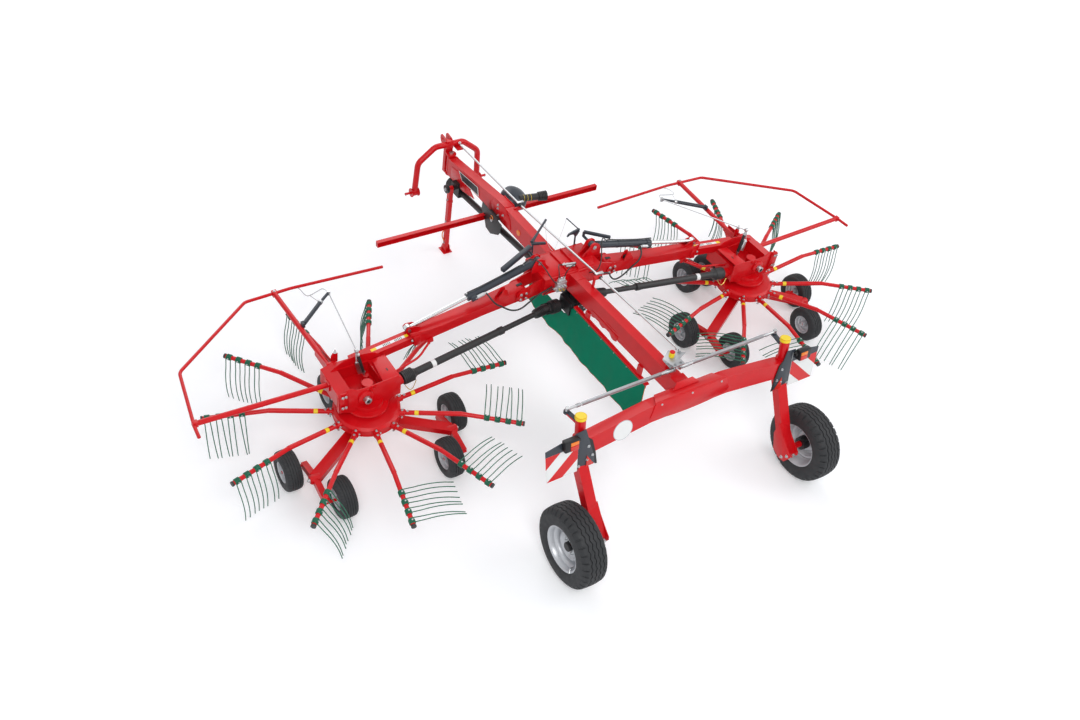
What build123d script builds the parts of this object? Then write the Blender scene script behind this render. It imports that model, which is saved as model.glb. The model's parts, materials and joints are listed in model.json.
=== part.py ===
"""Twin rotor hay rake with a steered transport axle, in millimetres.

Frame: +X to the machine's right, +Y forward in the direction of travel, +Z up.
The origin is on the ground in the middle of the machine's length and width.
Stations are distances ahead of the transport axle.
"""

import os
from math import atan2, cos, degrees, radians, sin

from build123d import *

os.makedirs("parts", exist_ok=True)

# Overall layout.
FRONT_REACH = 4930.0
TYRE_RADIUS = 380.0
AXLE_Y = -(FRONT_REACH - TYRE_RADIUS) / 2
SIDES = (("left", -1), ("right", 1))

# Clearances: pins in bores, seated faces, sliding faces and passing pieces.
FIT = 0.08
SEAT = 0.3
SLIDE_FIT = 0.3
PASS = 6.0

# Main beam.
BEAM_WIDTH = 106.0
BEAM_HEIGHT = 196.0
REAR_BEAM_BACK = 618.0
REAR_TOP_BACK = 1305.0
REAR_TOP_FRONT = 1243.0
FRONT_TOP = 1206.0
NOSE_TOP = 1085.0
FRONT_BOTTOM = 1000.0
NOSE_BOTTOM = 868.0

# Vertical pivot between the nose and the headstock, and the stations that it sets.
TURN_Y = FRONT_REACH - 195
FRONT_SLOPE_START = TURN_Y - 1085
NOSE_BACK = TURN_Y - 405
NOSE_FLAT = TURN_Y - 95
NOSE_END = TURN_Y - 35
TURN_TUBE_RADIUS = 45.0
TURN_PIN_RADIUS = 20.0

# Cross member with the arm clevises and the lift cylinder lugs.
ARM_Y = 2420.0
CROSS_BACK = ARM_Y - 150
CROSS_FRONT = ARM_Y + 220
CROSS_HALF = 335.0
CROSS_BOTTOM = 1060.0
CROSS_TOP = 1250.0

# Folding arms.
PIVOT_X = 532.0
PIVOT_Z = 1078.0
PIVOT_PIN_RADIUS = 28.0
ARM_WIDTH = 140.0
ARM_SLOPE = 8.5
ARM_LENGTH = 1166.0
ARM_ROOT_RADIUS = 72.0
ARM_END_HEIGHT = 104.0
ARM_WALL = 10.0
ARM_HOLLOW_START = 530.0
CLEVIS_PLATE = 15.0
SLIDE_HEIGHT = ARM_END_HEIGHT - 2 * ARM_WALL - 2 * SLIDE_FIT
SLIDE_WIDTH = ARM_WIDTH - 2 * ARM_WALL - 2 * SLIDE_FIT

# Lift cylinders.
LIFT_Y = ARM_Y + 40
LUG_X = 325.0
LUG_Z = 1354.0
LUG_RADIUS = 42.0
LUG_PLATE = 16.0
LUG_PIN_RADIUS = 17.0
ROD_EYE_OUT = ARM_LENGTH + 20.4
ROD_EYE_UP = 85.3
BARREL_START = 58.0
BARREL_END = 800.0
BARREL_BORE_END = 770.0
BARREL_RADIUS = 38.0
LIFT_ROD_RADIUS = 20.0
LIFT_ROD_START = 640.0
EYE_RADIUS = 36.0
EYE_WIDTH = 44.0

# Rotors.
ROTOR_X = 2305.0
ROTOR_Y = 2090.0
ARM_COUNT = 11
LEFT_FIRST_ARM = 63.3
RIGHT_FIRST_ARM = 98.2
HUB_RADIUS = 310.0
HUB_TOP = 572.0
HUB_SHOULDER = 536.0
HUB_BOTTOM = 472.0
HUB_CROWN = 190.0
POST_RADIUS = 52.0
INNER_SPOKE_RADIUS = 23.0
SPOKE_RADIUS = 21.0
SPOKE_ROOT = HUB_RADIUS - 14
SPOKE_ROOT_Z = 512.0
SPOKE_KINK = 870.0
SPOKE_KINK_Z = 594.0
SPOKE_TIP = 1454.0
SPOKE_TIP_Z = 562.0
HOLDER_FIRST = SPOKE_TIP - 349
HOLDER_PITCH = 100.0
HOLDERS = 4
HOLDER_SIZE = (64.0, 34.0, 22.0)
PRONG_SPACING = 46.0
PRONG_SIZE = 9.0
PRONG_UPPER = 262.0
PRONG_LOWER = 225.0
PRONG_BEND = 16.0

# Head over each rotor, carried by the slide, and the shaft to it.
HEAD_INNER = ROTOR_X - 295
HEAD_OUTER = ROTOR_X + 295
HEAD_BACK = ROTOR_Y - 60
HEAD_FRONT = ROTOR_Y + 360
HEAD_BOTTOM = 660.0
HEAD_TOP = 850.0
HEAD_WALL = 14.0
POCKET_FLOOR = 716.0
SLIDE_START = 800.0
SLIDE_END = (ROTOR_X + 7 - PIVOT_X) / cos(radians(ARM_SLOPE))
GEAR_Y = CROSS_BACK - 70
SHAFT_X = 300.0
SHAFT_Y = GEAR_Y + 50
SHAFT_Z = 885.0
SHAFT_END_X = ROTOR_X - 355
SHAFT_END_Y = ROTOR_Y + 20
SHAFT_END_Z = 730.0
SHAFT_GAP = 10.0
SHAFT_PIN_RADIUS = 10.0
INNER_SHAFT_RADIUS = 27.0
OUTER_SHAFT_RADIUS = 36.0
INNER_SHAFT_PROFILE = (
    (-38, 0),
    (-38, 40),
    (-20, 51),
    (20, 51),
    (40, 44),
    (130, 44),
    (130, INNER_SHAFT_RADIUS),
    (1080, INNER_SHAFT_RADIUS),
    (1080, 0),
)
BELL_RADIUS = 62.0

# Rotor wheels and the frame that carries them.
WHEEL_RADIUS = 195.0
WHEEL_HALF = 80.0
WHEEL_HUB = 60.0
WHEEL_AXLE = 14.0
WHEEL_OFFSET = 150.0
TANDEM_HALF = 247.0
TANDEM_Y = ROTOR_Y - 368
TANDEM_IN_X = ROTOR_X - 707
TANDEM_OUT_X = ROTOR_X + 672
TWIN_X = ROTOR_X - 83
TWIN_Y = ROTOR_Y + 622
FRAME_TOP = 455.0
FRAME_BOTTOM = 362.0

# Transport wheels and steering. The kingpins lean forward at the top.
TYRE_HALF = 132.0
BEAD_RADIUS = 206.0
KING_X = 1155.0
WHEEL_X = KING_X + 215
KING_Y = 425.5
KING_Z = 1130.0
KING_RAKE = 10.5
KING_RADIUS = 46.0
HOUSING_RADIUS = 62.0
HOUSING_LOW = -116.0
HOUSING_HIGH = 92.0
STUB_RADIUS = 30.0
CRANK_Y = 740.0
CRANK_Z = 1414.0
CRANK_PLATE = 12.0
CRANK_PIN_RADIUS = 14.0
TIE_Y = CRANK_Y - 103
TIE_X = 32.0
TIE_Z = 1372.0
TIE_PIN_RADIUS = 8.0
TIE_RADIUS = 13.0
STEER_X = 103.0
STEER_Y = CRANK_Y + 47
STEER_RADIUS = 11.0
REST_Y = CROSS_FRONT + 0.8 * (FRONT_SLOPE_START - CROSS_FRONT)
STEER_ROUTE = (
    (STEER_X, STEER_Y, 1444),
    (STEER_X, 2080, 1352),
    (STEER_X, REST_Y, 1237),
    (STEER_X, TURN_Y + 10, 1203),
)
GUIDE_Y = 1990.0

MIN = (Align.CENTER, Align.CENTER, Align.MIN)


def point(side, x, y, z):
    """Return the point at distance x on the given side, station y and height z."""
    return Vector(side * x, AXLE_Y + y, z)


def side_plane(y):
    """Return the upright plane across the machine at station y."""
    return Plane(origin=(0, AXLE_Y + y, 0), x_dir=(1, 0, 0), z_dir=(0, -1, 0))


def long_plane(x):
    """Return the upright plane along the machine at x, with stations as its first coordinate."""
    return Plane(origin=(x, AXLE_Y, 0), x_dir=(0, 1, 0), z_dir=(1, 0, 0))


def floor_plane(z):
    """Return the level plane at height z, with stations as its second coordinate."""
    return Plane(origin=(0, AXLE_Y, z), x_dir=(1, 0, 0), z_dir=(0, 0, 1))


def round_bar(start, end, radius, mode=Mode.ADD):
    """Put a round bar between two points into the part being built."""
    run = end - start
    with Locations(Plane(origin=start, z_dir=run)):
        Cylinder(radius, run.length, align=MIN, mode=mode)


def flat_bar(start, end, width, height):
    """Put a rectangular bar between two points, its width level, into the part being built."""
    run = end - start
    with Locations(Plane(origin=start, x_dir=run.cross(Vector(0, 0, 1)), z_dir=run)):
        Box(width, height, run.length, align=MIN)


def block(low, high, mode=Mode.ADD):
    """Put a box between two corners into the part being built."""
    size = high - low
    with Locations(low + size / 2):
        Box(abs(size.X), abs(size.Y), abs(size.Z), mode=mode)


def finish(part, label):
    """Label a finished part and write its file."""
    part.part.label = label
    export_step(part.part, f"parts/{label}.step")


def rear_bottom(y):
    """Return the height of the rear beam's underside at station y."""
    share = (y - REAR_BEAM_BACK) / (CROSS_BACK - REAR_BEAM_BACK)
    return REAR_TOP_BACK - BEAM_HEIGHT + share * (REAR_TOP_FRONT - REAR_TOP_BACK)


# Rear beam with the post of the steering crank and a rest for the steering rod.
with BuildPart() as rear_beam:
    with BuildSketch(long_plane(0)):
        Polygon(
            (REAR_BEAM_BACK, REAR_TOP_BACK - BEAM_HEIGHT),
            (CROSS_BACK, REAR_TOP_FRONT - BEAM_HEIGHT),
            (CROSS_BACK, REAR_TOP_FRONT),
            (REAR_BEAM_BACK, REAR_TOP_BACK),
            align=None,
        )
    extrude(amount=BEAM_WIDTH / 2, both=True)
    round_bar(point(1, 0, CRANK_Y, REAR_TOP_BACK - 40), point(1, 0, CRANK_Y, CRANK_Z - SEAT), 30)
    round_bar(point(1, 0, CRANK_Y, CRANK_Z - 10), point(1, 0, CRANK_Y, CRANK_Z + 30), CRANK_PIN_RADIUS)
    round_bar(
        point(1, 0, CRANK_Y, CRANK_Z + CRANK_PLATE + SEAT),
        point(1, 0, CRANK_Y, CRANK_Z + CRANK_PLATE + 60),
        24,
    )
    block(point(1, 30, GUIDE_Y, REAR_TOP_FRONT - 20), point(1, 50, GUIDE_Y + 20, 1352))
    block(point(1, 30, GUIDE_Y, 1340), point(1, 122, GUIDE_Y + 20, 1376))
    round_bar(point(1, *STEER_ROUTE[0]), point(1, *STEER_ROUTE[1]), STEER_RADIUS + FIT, mode=Mode.SUBTRACT)
finish(rear_beam, "rear_beam")

# Front beam with its deeper nose, the tube of the headstock pivot and a rest for the steering rod.
with BuildPart() as front_beam:
    with BuildSketch(long_plane(0)):
        Polygon(
            (CROSS_FRONT, FRONT_BOTTOM + 62),
            (CROSS_FRONT + 240, FRONT_BOTTOM),
            (NOSE_BACK - 150, FRONT_BOTTOM),
            (NOSE_BACK, NOSE_BOTTOM),
            (NOSE_END, NOSE_BOTTOM),
            (NOSE_END, NOSE_TOP),
            (NOSE_FLAT, NOSE_TOP),
            (FRONT_SLOPE_START, FRONT_TOP),
            (CROSS_FRONT, FRONT_TOP),
            align=None,
        )
    extrude(amount=BEAM_WIDTH / 2, both=True)
    round_bar(point(1, 0, TURN_Y, NOSE_BOTTOM), point(1, 0, TURN_Y, NOSE_TOP), TURN_TUBE_RADIUS)
    block(point(1, 30, REST_Y - 10, FRONT_TOP - 20), point(1, STEER_X + 15, REST_Y + 10, FRONT_TOP + 12))
    round_bar(
        point(1, 0, TURN_Y, NOSE_BOTTOM - 5),
        point(1, 0, TURN_Y, NOSE_TOP + 5),
        TURN_PIN_RADIUS + FIT,
        mode=Mode.SUBTRACT,
    )
finish(front_beam, "front_beam")

# Cross member: a box, clevis plates for the arms and lugs for the lift cylinders.
CLEVIS_OFFSET = ARM_WIDTH / 2 + PASS + CLEVIS_PLATE / 2
LUG_OFFSET = EYE_WIDTH / 2 + 2 + LUG_PLATE / 2
with BuildPart() as cross_member:
    block(point(1, -CROSS_HALF, CROSS_BACK, CROSS_BOTTOM), point(1, CROSS_HALF, CROSS_FRONT, CROSS_TOP))
    for offset in (-CLEVIS_OFFSET, CLEVIS_OFFSET):
        with BuildSketch(side_plane(ARM_Y + offset)):
            for name, side in SIDES:
                Polygon(
                    (side * (CROSS_HALF - 90), CROSS_BOTTOM),
                    (side * PIVOT_X, PIVOT_Z - ARM_ROOT_RADIUS),
                    (side * PIVOT_X, PIVOT_Z + ARM_ROOT_RADIUS),
                    (side * (CROSS_HALF - 90), CROSS_TOP),
                    align=None,
                )
                with Locations((side * PIVOT_X, PIVOT_Z)):
                    Circle(ARM_ROOT_RADIUS)
        extrude(amount=CLEVIS_PLATE / 2, both=True)
    for offset in (-LUG_OFFSET, LUG_OFFSET):
        with BuildSketch(side_plane(LIFT_Y + offset)):
            for name, side in SIDES:
                Polygon(
                    (side * (CROSS_HALF - 150), CROSS_TOP - 5),
                    (side * CROSS_HALF, CROSS_TOP - 5),
                    (side * (LUG_X + LUG_RADIUS), LUG_Z),
                    (side * (LUG_X - LUG_RADIUS), LUG_Z),
                    align=None,
                )
                with Locations((side * LUG_X, LUG_Z)):
                    Circle(LUG_RADIUS)
        extrude(amount=LUG_PLATE / 2, both=True)
    for name, side in SIDES:
        half = LUG_OFFSET + LUG_PLATE / 2 + 8
        round_bar(point(side, LUG_X, LIFT_Y - half, LUG_Z), point(side, LUG_X, LIFT_Y + half, LUG_Z), LUG_PIN_RADIUS)
        half = CLEVIS_OFFSET + CLEVIS_PLATE / 2 + 10
        round_bar(
            point(side, PIVOT_X, ARM_Y - half, PIVOT_Z),
            point(side, PIVOT_X, ARM_Y + half, PIVOT_Z),
            PIVOT_PIN_RADIUS,
        )
finish(cross_member, "cross_member")

# Headstock: arched yoke tube, web on the pivot pin, top link lugs and lower hitch pins.
YOKE_Y = TURN_Y + 65
YOKE_RADIUS = 34.0
YOKE_SHAPE = ((405, 655), (382, 1030), (175, 1195))
YOKE_BEND = 110.0
HITCH_PIN_RADIUS = 14.0
HITCH_PIN_LENGTH = 75.0
HITCH_HUB = 44.0
TOP_LINK_Y = FRONT_REACH - 53
TOP_LINK_Z = 1228.0
TOP_LINK_BORE = 12.75
TOP_LUG_X = 34.0
TOP_LUG_PLATE = 14.0
with BuildPart() as headstock:
    with BuildLine(side_plane(YOKE_Y)) as yoke_line:
        FilletPolyline(
            *[(-x, z) for x, z in YOKE_SHAPE],
            *[(x, z) for x, z in reversed(YOKE_SHAPE)],
            radius=YOKE_BEND,
        )
    with BuildSketch(Plane(origin=yoke_line.line @ 0, z_dir=yoke_line.line % 0)):
        Circle(YOKE_RADIUS)
    sweep()
    for name, side in SIDES:
        x, z = YOKE_SHAPE[0]
        hub = point(side, x - HITCH_HUB, YOKE_Y, z)
        face = point(side, x + HITCH_HUB, YOKE_Y, z)
        round_bar(hub, face, YOKE_RADIUS + 8)
        round_bar(face, point(side, x + HITCH_HUB + HITCH_PIN_LENGTH, YOKE_Y, z), HITCH_PIN_RADIUS)
        inner = TOP_LUG_X - TOP_LUG_PLATE / 2
        with BuildSketch(long_plane(side * TOP_LUG_X)):
            Polygon(
                (YOKE_Y - 20, TOP_LINK_Z - 108),
                (YOKE_Y + 30, TOP_LINK_Z - 108),
                (FRONT_REACH - 14, TOP_LINK_Z - 46),
                (FRONT_REACH, TOP_LINK_Z - 20),
                (FRONT_REACH, TOP_LINK_Z + 22),
                (FRONT_REACH - 20, TOP_LINK_Z + 40),
                (YOKE_Y + 10, TOP_LINK_Z + 30),
                (YOKE_Y - 20, TOP_LINK_Z - 20),
                align=None,
            )
        extrude(amount=TOP_LUG_PLATE / 2, both=True)
    block(point(1, -45, TURN_Y + 51, NOSE_BOTTOM - 24), point(1, 45, YOKE_Y + 34, 1196))
    for low in (NOSE_TOP + PASS, NOSE_BOTTOM - PASS - 18):
        round_bar(point(1, 0, TURN_Y, low), point(1, 0, TURN_Y, low + 18), 50)
        block(point(1, -45, TURN_Y, low), point(1, 45, TURN_Y + 60, low + 18))
    round_bar(point(1, 0, TURN_Y, NOSE_BOTTOM - 20), point(1, 0, TURN_Y, NOSE_TOP + 30), TURN_PIN_RADIUS)
    block(point(1, 60, TURN_Y - 30, TOP_LINK_Z - 78), point(1, STEER_X + 33, YOKE_Y, TOP_LINK_Z - 60))
    round_bar(
        point(1, -80, TOP_LINK_Y, TOP_LINK_Z),
        point(1, 80, TOP_LINK_Y, TOP_LINK_Z),
        TOP_LINK_BORE,
        mode=Mode.SUBTRACT,
    )
finish(headstock, "headstock")

# Drive line: front bearing with the input shaft, guard tube and gearbox.
INPUT_Z = 768.0
BEARING_BACK = TURN_Y - 305
BEARING_FRONT = TURN_Y - 175
INPUT_RADIUS = 17.45
INPUT_LENGTH = 90.0
GEAR_Z = 918.0
GEAR_HALF = (105.0, 92.0, 74.0)
NECK_END = GEAR_Y + 132
NECK_Z = 960.2
DRIVE_SLOPE = (NECK_Z - INPUT_Z) / (BEARING_BACK - GEAR_Y)
BOOT_END = SHAFT_X - 63


def drive_point(y):
    """Return the point of the drive line at station y."""
    return point(1, 0, y, INPUT_Z + DRIVE_SLOPE * (BEARING_BACK - y))


with BuildPart() as input_bearing:
    block(point(1, -52, BEARING_BACK, INPUT_Z - 52), point(1, 52, BEARING_FRONT, NOSE_BOTTOM))
    round_bar(
        point(1, 0, BEARING_FRONT, INPUT_Z),
        point(1, 0, BEARING_FRONT + INPUT_LENGTH, INPUT_Z),
        INPUT_RADIUS,
    )
finish(input_bearing, "input_bearing")

with BuildPart() as drive_tube:
    round_bar(drive_point(NECK_END + SEAT), drive_point(BEARING_BACK - 3.5), 34)
finish(drive_tube, "drive_tube")

with BuildPart() as centre_gearbox:
    block(
        point(1, -GEAR_HALF[0], GEAR_Y - GEAR_HALF[1], GEAR_Z - GEAR_HALF[2]),
        point(1, GEAR_HALF[0], GEAR_Y + GEAR_HALF[1], GEAR_Z + GEAR_HALF[2]),
    )
    round_bar(drive_point(GEAR_Y), drive_point(NECK_END), 46)
    for name, side in SIDES:
        round_bar(point(side, 60, SHAFT_Y, SHAFT_Z), point(side, 143, SHAFT_Y, SHAFT_Z), 48)
        round_bar(point(side, 143, SHAFT_Y, SHAFT_Z), point(side, BOOT_END, SHAFT_Y, SHAFT_Z), 68)
        for y in (SHAFT_Y - 66, SHAFT_Y + 58):
            block(point(side, BOOT_END - 5, y, SHAFT_Z - 16), point(side, SHAFT_X + 14, y + 8, SHAFT_Z + 16))
        round_bar(
            point(side, SHAFT_X, SHAFT_Y - 62, SHAFT_Z),
            point(side, SHAFT_X, SHAFT_Y + 62, SHAFT_Z),
            SHAFT_PIN_RADIUS,
        )
    block(point(1, -60, CROSS_BACK, GEAR_Z), point(1, 60, CROSS_BACK + 44, CROSS_BOTTOM))
finish(centre_gearbox, "centre_gearbox")

# Front bar, a channel across the machine under the front beam.
BAR_Y = TURN_Y - 939
BAR_REACH = 1375.0
BAR_BOTTOM = 884.0
BAR_HEIGHT = 62.0
BAR_DEPTH = 44.0
BAR_WALL = 6.0
with BuildPart() as front_bar:
    with BuildSketch(long_plane(0)):
        with Locations((BAR_Y, BAR_BOTTOM + BAR_HEIGHT / 2)):
            Rectangle(BAR_DEPTH, BAR_HEIGHT)
        with Locations((BAR_Y - BAR_WALL, BAR_BOTTOM + BAR_HEIGHT / 2)):
            Rectangle(BAR_DEPTH, BAR_HEIGHT - 2 * BAR_WALL, mode=Mode.SUBTRACT)
    extrude(amount=BAR_REACH, both=True)
    block(
        point(1, -48, BAR_Y - BAR_DEPTH / 2, BAR_BOTTOM + BAR_HEIGHT - BAR_WALL),
        point(1, 48, BAR_Y + BAR_DEPTH / 2, FRONT_BOTTOM),
    )
finish(front_bar, "front_bar")

# Parking leg beside the nose and its bracket.
LEG_X = 150.0
LEG_Y = TURN_Y - 288
LEG_Z = 871.0
LEG_HALF = 25.0
LEG_PIN_RADIUS = 15.0
FOOT_LENGTH = 130.0
FOOT_WIDTH = 110.0
FOOT_THICK = 10.0
with BuildPart() as leg_bracket:
    block(point(-1, LEG_X - LEG_HALF - PASS, LEG_Y - 45, LEG_Z), point(-1, BEAM_WIDTH / 2, LEG_Y + 45, LEG_Z + 60))
    round_bar(point(-1, LEG_X - 60, LEG_Y, LEG_Z), point(-1, LEG_X + 34, LEG_Y, LEG_Z), LEG_PIN_RADIUS)
    round_bar(point(-1, LEG_X - 60, LEG_Y, LEG_Z), point(-1, LEG_X - LEG_HALF - PASS, LEG_Y, LEG_Z), 34)
    round_bar(point(-1, LEG_X + LEG_HALF + PASS, LEG_Y, LEG_Z), point(-1, LEG_X + 62, LEG_Y, LEG_Z), 48)
finish(leg_bracket, "leg_bracket")

with BuildPart() as parking_leg:
    block(point(-1, LEG_X + LEG_HALF, LEG_Y - LEG_HALF, 0), point(-1, LEG_X - LEG_HALF, LEG_Y + LEG_HALF, LEG_Z))
    round_bar(point(-1, LEG_X - LEG_HALF, LEG_Y, LEG_Z), point(-1, LEG_X + LEG_HALF, LEG_Y, LEG_Z), LEG_HALF)
    block(
        point(-1, LEG_X + FOOT_WIDTH / 2, LEG_Y - FOOT_LENGTH / 2, 0),
        point(-1, LEG_X - FOOT_WIDTH / 2, LEG_Y + FOOT_LENGTH / 2, FOOT_THICK),
    )
    round_bar(
        point(-1, LEG_X - 60, LEG_Y, LEG_Z),
        point(-1, LEG_X + 60, LEG_Y, LEG_Z),
        LEG_PIN_RADIUS + FIT,
        mode=Mode.SUBTRACT,
    )
finish(parking_leg, "parking_leg")

# Swath curtain on its rail under the rear beam.
RAIL_X = -80.0
RAIL_BACK = 870.0
RAIL_FRONT = 2080.0
RAIL_TOP = 980.0
RAIL_HEIGHT = 46.0
RAIL_WALL = 6.0
CURTAIN_FRONT = 2850.0
CURTAIN_THICK = 5.0
CURTAIN_TOP = RAIL_TOP - 18
CURTAIN_EDGE = ((RAIL_BACK, CURTAIN_TOP), (RAIL_FRONT, CURTAIN_TOP), (RAIL_FRONT, 800), (CURTAIN_FRONT, 800))
CURTAIN_HEM = ((CURTAIN_FRONT, 480), (RAIL_BACK + 40, 450))
with BuildPart() as curtain_rail:
    block(point(1, RAIL_X, RAIL_BACK, RAIL_TOP - RAIL_HEIGHT), point(1, RAIL_X + RAIL_WALL, RAIL_FRONT, RAIL_TOP))
    block(point(1, RAIL_X, RAIL_BACK, RAIL_TOP - RAIL_WALL), point(1, RAIL_X + 42, RAIL_FRONT, RAIL_TOP))
    for y in (RAIL_BACK + 150, RAIL_FRONT - 200):
        top = rear_bottom(y + 30) - SEAT
        block(point(1, RAIL_X + 12, y - 30, RAIL_TOP - 2), point(1, RAIL_X + 36, y + 30, top))
finish(curtain_rail, "curtain_rail")

with BuildPart() as swath_curtain:
    with BuildSketch(long_plane(RAIL_X - SEAT)):
        Polygon(*CURTAIN_EDGE, *CURTAIN_HEM, align=None)
    extrude(amount=-CURTAIN_THICK)
finish(swath_curtain, "swath_curtain")

# Rear axle. The raked plane has its second axis up the kingpins and its normal to the rear.
rake = radians(KING_RAKE)
raked = Plane(origin=point(1, 0, KING_Y, KING_Z), x_dir=(1, 0, 0), z_dir=(0, -cos(rake), sin(rake)))
AXLE_HALF = KING_X - 45
AXLE_DEPTH = 116.0
AXLE_SHAPE = ((AXLE_HALF, -92), (430, -14), (-430, -14), (-AXLE_HALF, -92))
AXLE_TOP = ((-AXLE_HALF, 78), (-430, 158), (430, 158), (AXLE_HALF, 78))


def along_king(side, height):
    """Return the point at a height up a kingpin's axis."""
    return raked.from_local_coords(Vector(side * KING_X, height, 0))


with BuildPart() as rear_axle:
    with BuildSketch(raked):
        Polygon(*AXLE_SHAPE, *AXLE_TOP, align=None)
    extrude(amount=AXLE_DEPTH / 2, both=True)
    for name, side in SIDES:
        round_bar(along_king(side, HOUSING_LOW), along_king(side, HOUSING_HIGH), HOUSING_RADIUS)
    with BuildSketch(long_plane(0)):
        Polygon(
            (REAR_BEAM_BACK, REAR_TOP_BACK - BEAM_HEIGHT),
            (REAR_BEAM_BACK, REAR_TOP_BACK),
            (REAR_BEAM_BACK - 88, REAR_TOP_BACK),
            (REAR_BEAM_BACK - 104, REAR_TOP_BACK - 40),
            (KING_Y, REAR_TOP_BACK - 40),
            (KING_Y, REAR_TOP_BACK - BEAM_HEIGHT),
            align=None,
        )
    extrude(amount=BEAM_WIDTH / 2 + 20, both=True)
    for name, side in SIDES:
        low = along_king(side, HOUSING_LOW - 5)
        round_bar(low, along_king(side, HOUSING_HIGH + 5), KING_RADIUS + FIT, mode=Mode.SUBTRACT)
finish(rear_axle, "rear_axle")

# Bent cover over the middle of the axle.
COVER_HALF = 452.0
COVER_CORNER = 402.0
COVER_LOW = 40.0
COVER_DIP = -22.0
COVER_TOP = 172.0
COVER_WALL = 5.0
COVER_BACK = AXLE_DEPTH / 2 + SEAT
with BuildPart() as axle_cover:
    with BuildSketch(raked.offset(COVER_BACK)):
        with BuildLine():
            ThreePointArc((-COVER_HALF, COVER_LOW), (0, COVER_DIP), (COVER_HALF, COVER_LOW))
            Polyline((COVER_HALF, COVER_LOW), (COVER_CORNER, COVER_TOP), (-COVER_CORNER, COVER_TOP), (-COVER_HALF, COVER_LOW))
        make_face()
    extrude(amount=COVER_WALL)
    with BuildSketch(raked.offset(COVER_BACK + COVER_WALL)):
        Polygon(
            (-COVER_CORNER, 158 + SEAT),
            (-COVER_CORNER, COVER_TOP),
            (COVER_CORNER, COVER_TOP),
            (COVER_CORNER, 158 + SEAT),
            align=None,
        )
    extrude(amount=-(AXLE_DEPTH / 2 + 60))
finish(axle_cover, "axle_cover")

# Brackets, warning boards and lamps behind the ends of the axle.
BRACKET_BACK = HOUSING_RADIUS + SEAT
with BuildPart() as board_brackets:
    with BuildSketch(raked.offset(BRACKET_BACK)):
        for name, side in SIDES:
            Polygon(
                (side * (KING_X - 130), -90),
                (side * (KING_X - 150), -212),
                (side * (KING_X - 128), -212),
                (side * (KING_X - 100), -100),
                (side * (KING_X + 200), -100),
                (side * (KING_X + 200), 168),
                (side * (KING_X + 60), 168),
                (side * (KING_X + 40), 110),
                (side * (KING_X - 40), 110),
                (side * (KING_X - 90), 60),
                align=None,
            )
    extrude(amount=6)
finish(board_brackets, "board_brackets")

with BuildPart() as warning_boards:
    with BuildSketch(raked.offset(BRACKET_BACK + 6 + SEAT)):
        for name, side in SIDES:
            Polygon(
                (side * (KING_X + 20), -98),
                (side * (KING_X + 20), 74),
                (side * (KING_X + 379), 82),
                (side * (KING_X + 352), -236),
                (side * (KING_X + 132), -170),
                (side * (KING_X + 132), -98),
                align=None,
            )
    extrude(amount=3)
finish(warning_boards, "warning_boards")

with BuildPart() as rear_lamps:
    for name, side in SIDES:
        with BuildSketch(raked.offset(BRACKET_BACK + 6 + SEAT)):
            with Locations((side * (KING_X + 128), 130)):
                Rectangle(146, 84)
        extrude(amount=60)
finish(rear_lamps, "rear_lamps")

# Steered legs: kingpin with its cap, steering arm, raked leg and stub axle.
FOOT_PLATE = ((150, 140), (130, 260), (-20, 100), (-75, 20), (0, -52), (90, -40))
for name, side in SIDES:
    arm_root = along_king(side, 213)
    with BuildPart() as steered_leg:
        round_bar(along_king(side, -170), along_king(side, 286), KING_RADIUS)
        round_bar(along_king(side, 280), along_king(side, 308), KING_RADIUS + 5)
        round_bar(along_king(side, -186), along_king(side, -122), 58)
        flat_bar(along_king(side, -136), point(side, KING_X - 28, 60, TYRE_RADIUS + 75), 104, 92)
        with BuildSketch(long_plane(side * (KING_X - 30))):
            Polygon(*[(y, TYRE_RADIUS + z) for y, z in FOOT_PLATE], align=None)
        extrude(amount=50, both=True)
        round_bar(point(side, KING_X, 0, TYRE_RADIUS), point(side, WHEEL_X + 20, 0, TYRE_RADIUS), STUB_RADIUS)
        tip = Vector(side * (KING_X + 25), AXLE_Y + TIE_Y + 14, arm_root.Z)
        flat_bar(arm_root, tip, 44, 16)
    finish(steered_leg, f"steered_leg_{name}")

# Transport wheels. Profiles are across the wheel and out from its axis.
TYRE_PROFILE = (
    (-108, BEAD_RADIUS + SEAT),
    (-TYRE_HALF, 262),
    (-TYRE_HALF, 318),
    (-106, 366),
    (-58, TYRE_RADIUS),
    (58, TYRE_RADIUS),
    (106, 366),
    (TYRE_HALF, 318),
    (TYRE_HALF, 262),
    (108, BEAD_RADIUS + SEAT),
)
RIM_PROFILE = (
    (-60, STUB_RADIUS + FIT),
    (-60, 72),
    (8, 72),
    (8, 200),
    (-108, 200),
    (-108, BEAD_RADIUS),
    (108, BEAD_RADIUS),
    (108, 200),
    (18, 200),
    (18, 72),
    (40, 60),
    (48, 30),
    (48, 0),
    (24, 0),
    (24, STUB_RADIUS + FIT),
)
SMALL_PROFILE = (
    (-WHEEL_HUB, WHEEL_AXLE + FIT),
    (-WHEEL_HUB, 32),
    (-6, 32),
    (-6, 92),
    (-60, 98),
    (-WHEEL_HALF, 122),
    (-WHEEL_HALF, 158),
    (-62, 188),
    (-36, WHEEL_RADIUS),
    (36, WHEEL_RADIUS),
    (62, 188),
    (WHEEL_HALF, 158),
    (WHEEL_HALF, 122),
    (60, 98),
    (6, 92),
    (6, 32),
    (WHEEL_HUB, 32),
    (WHEEL_HUB, WHEEL_AXLE + FIT),
)


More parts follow.
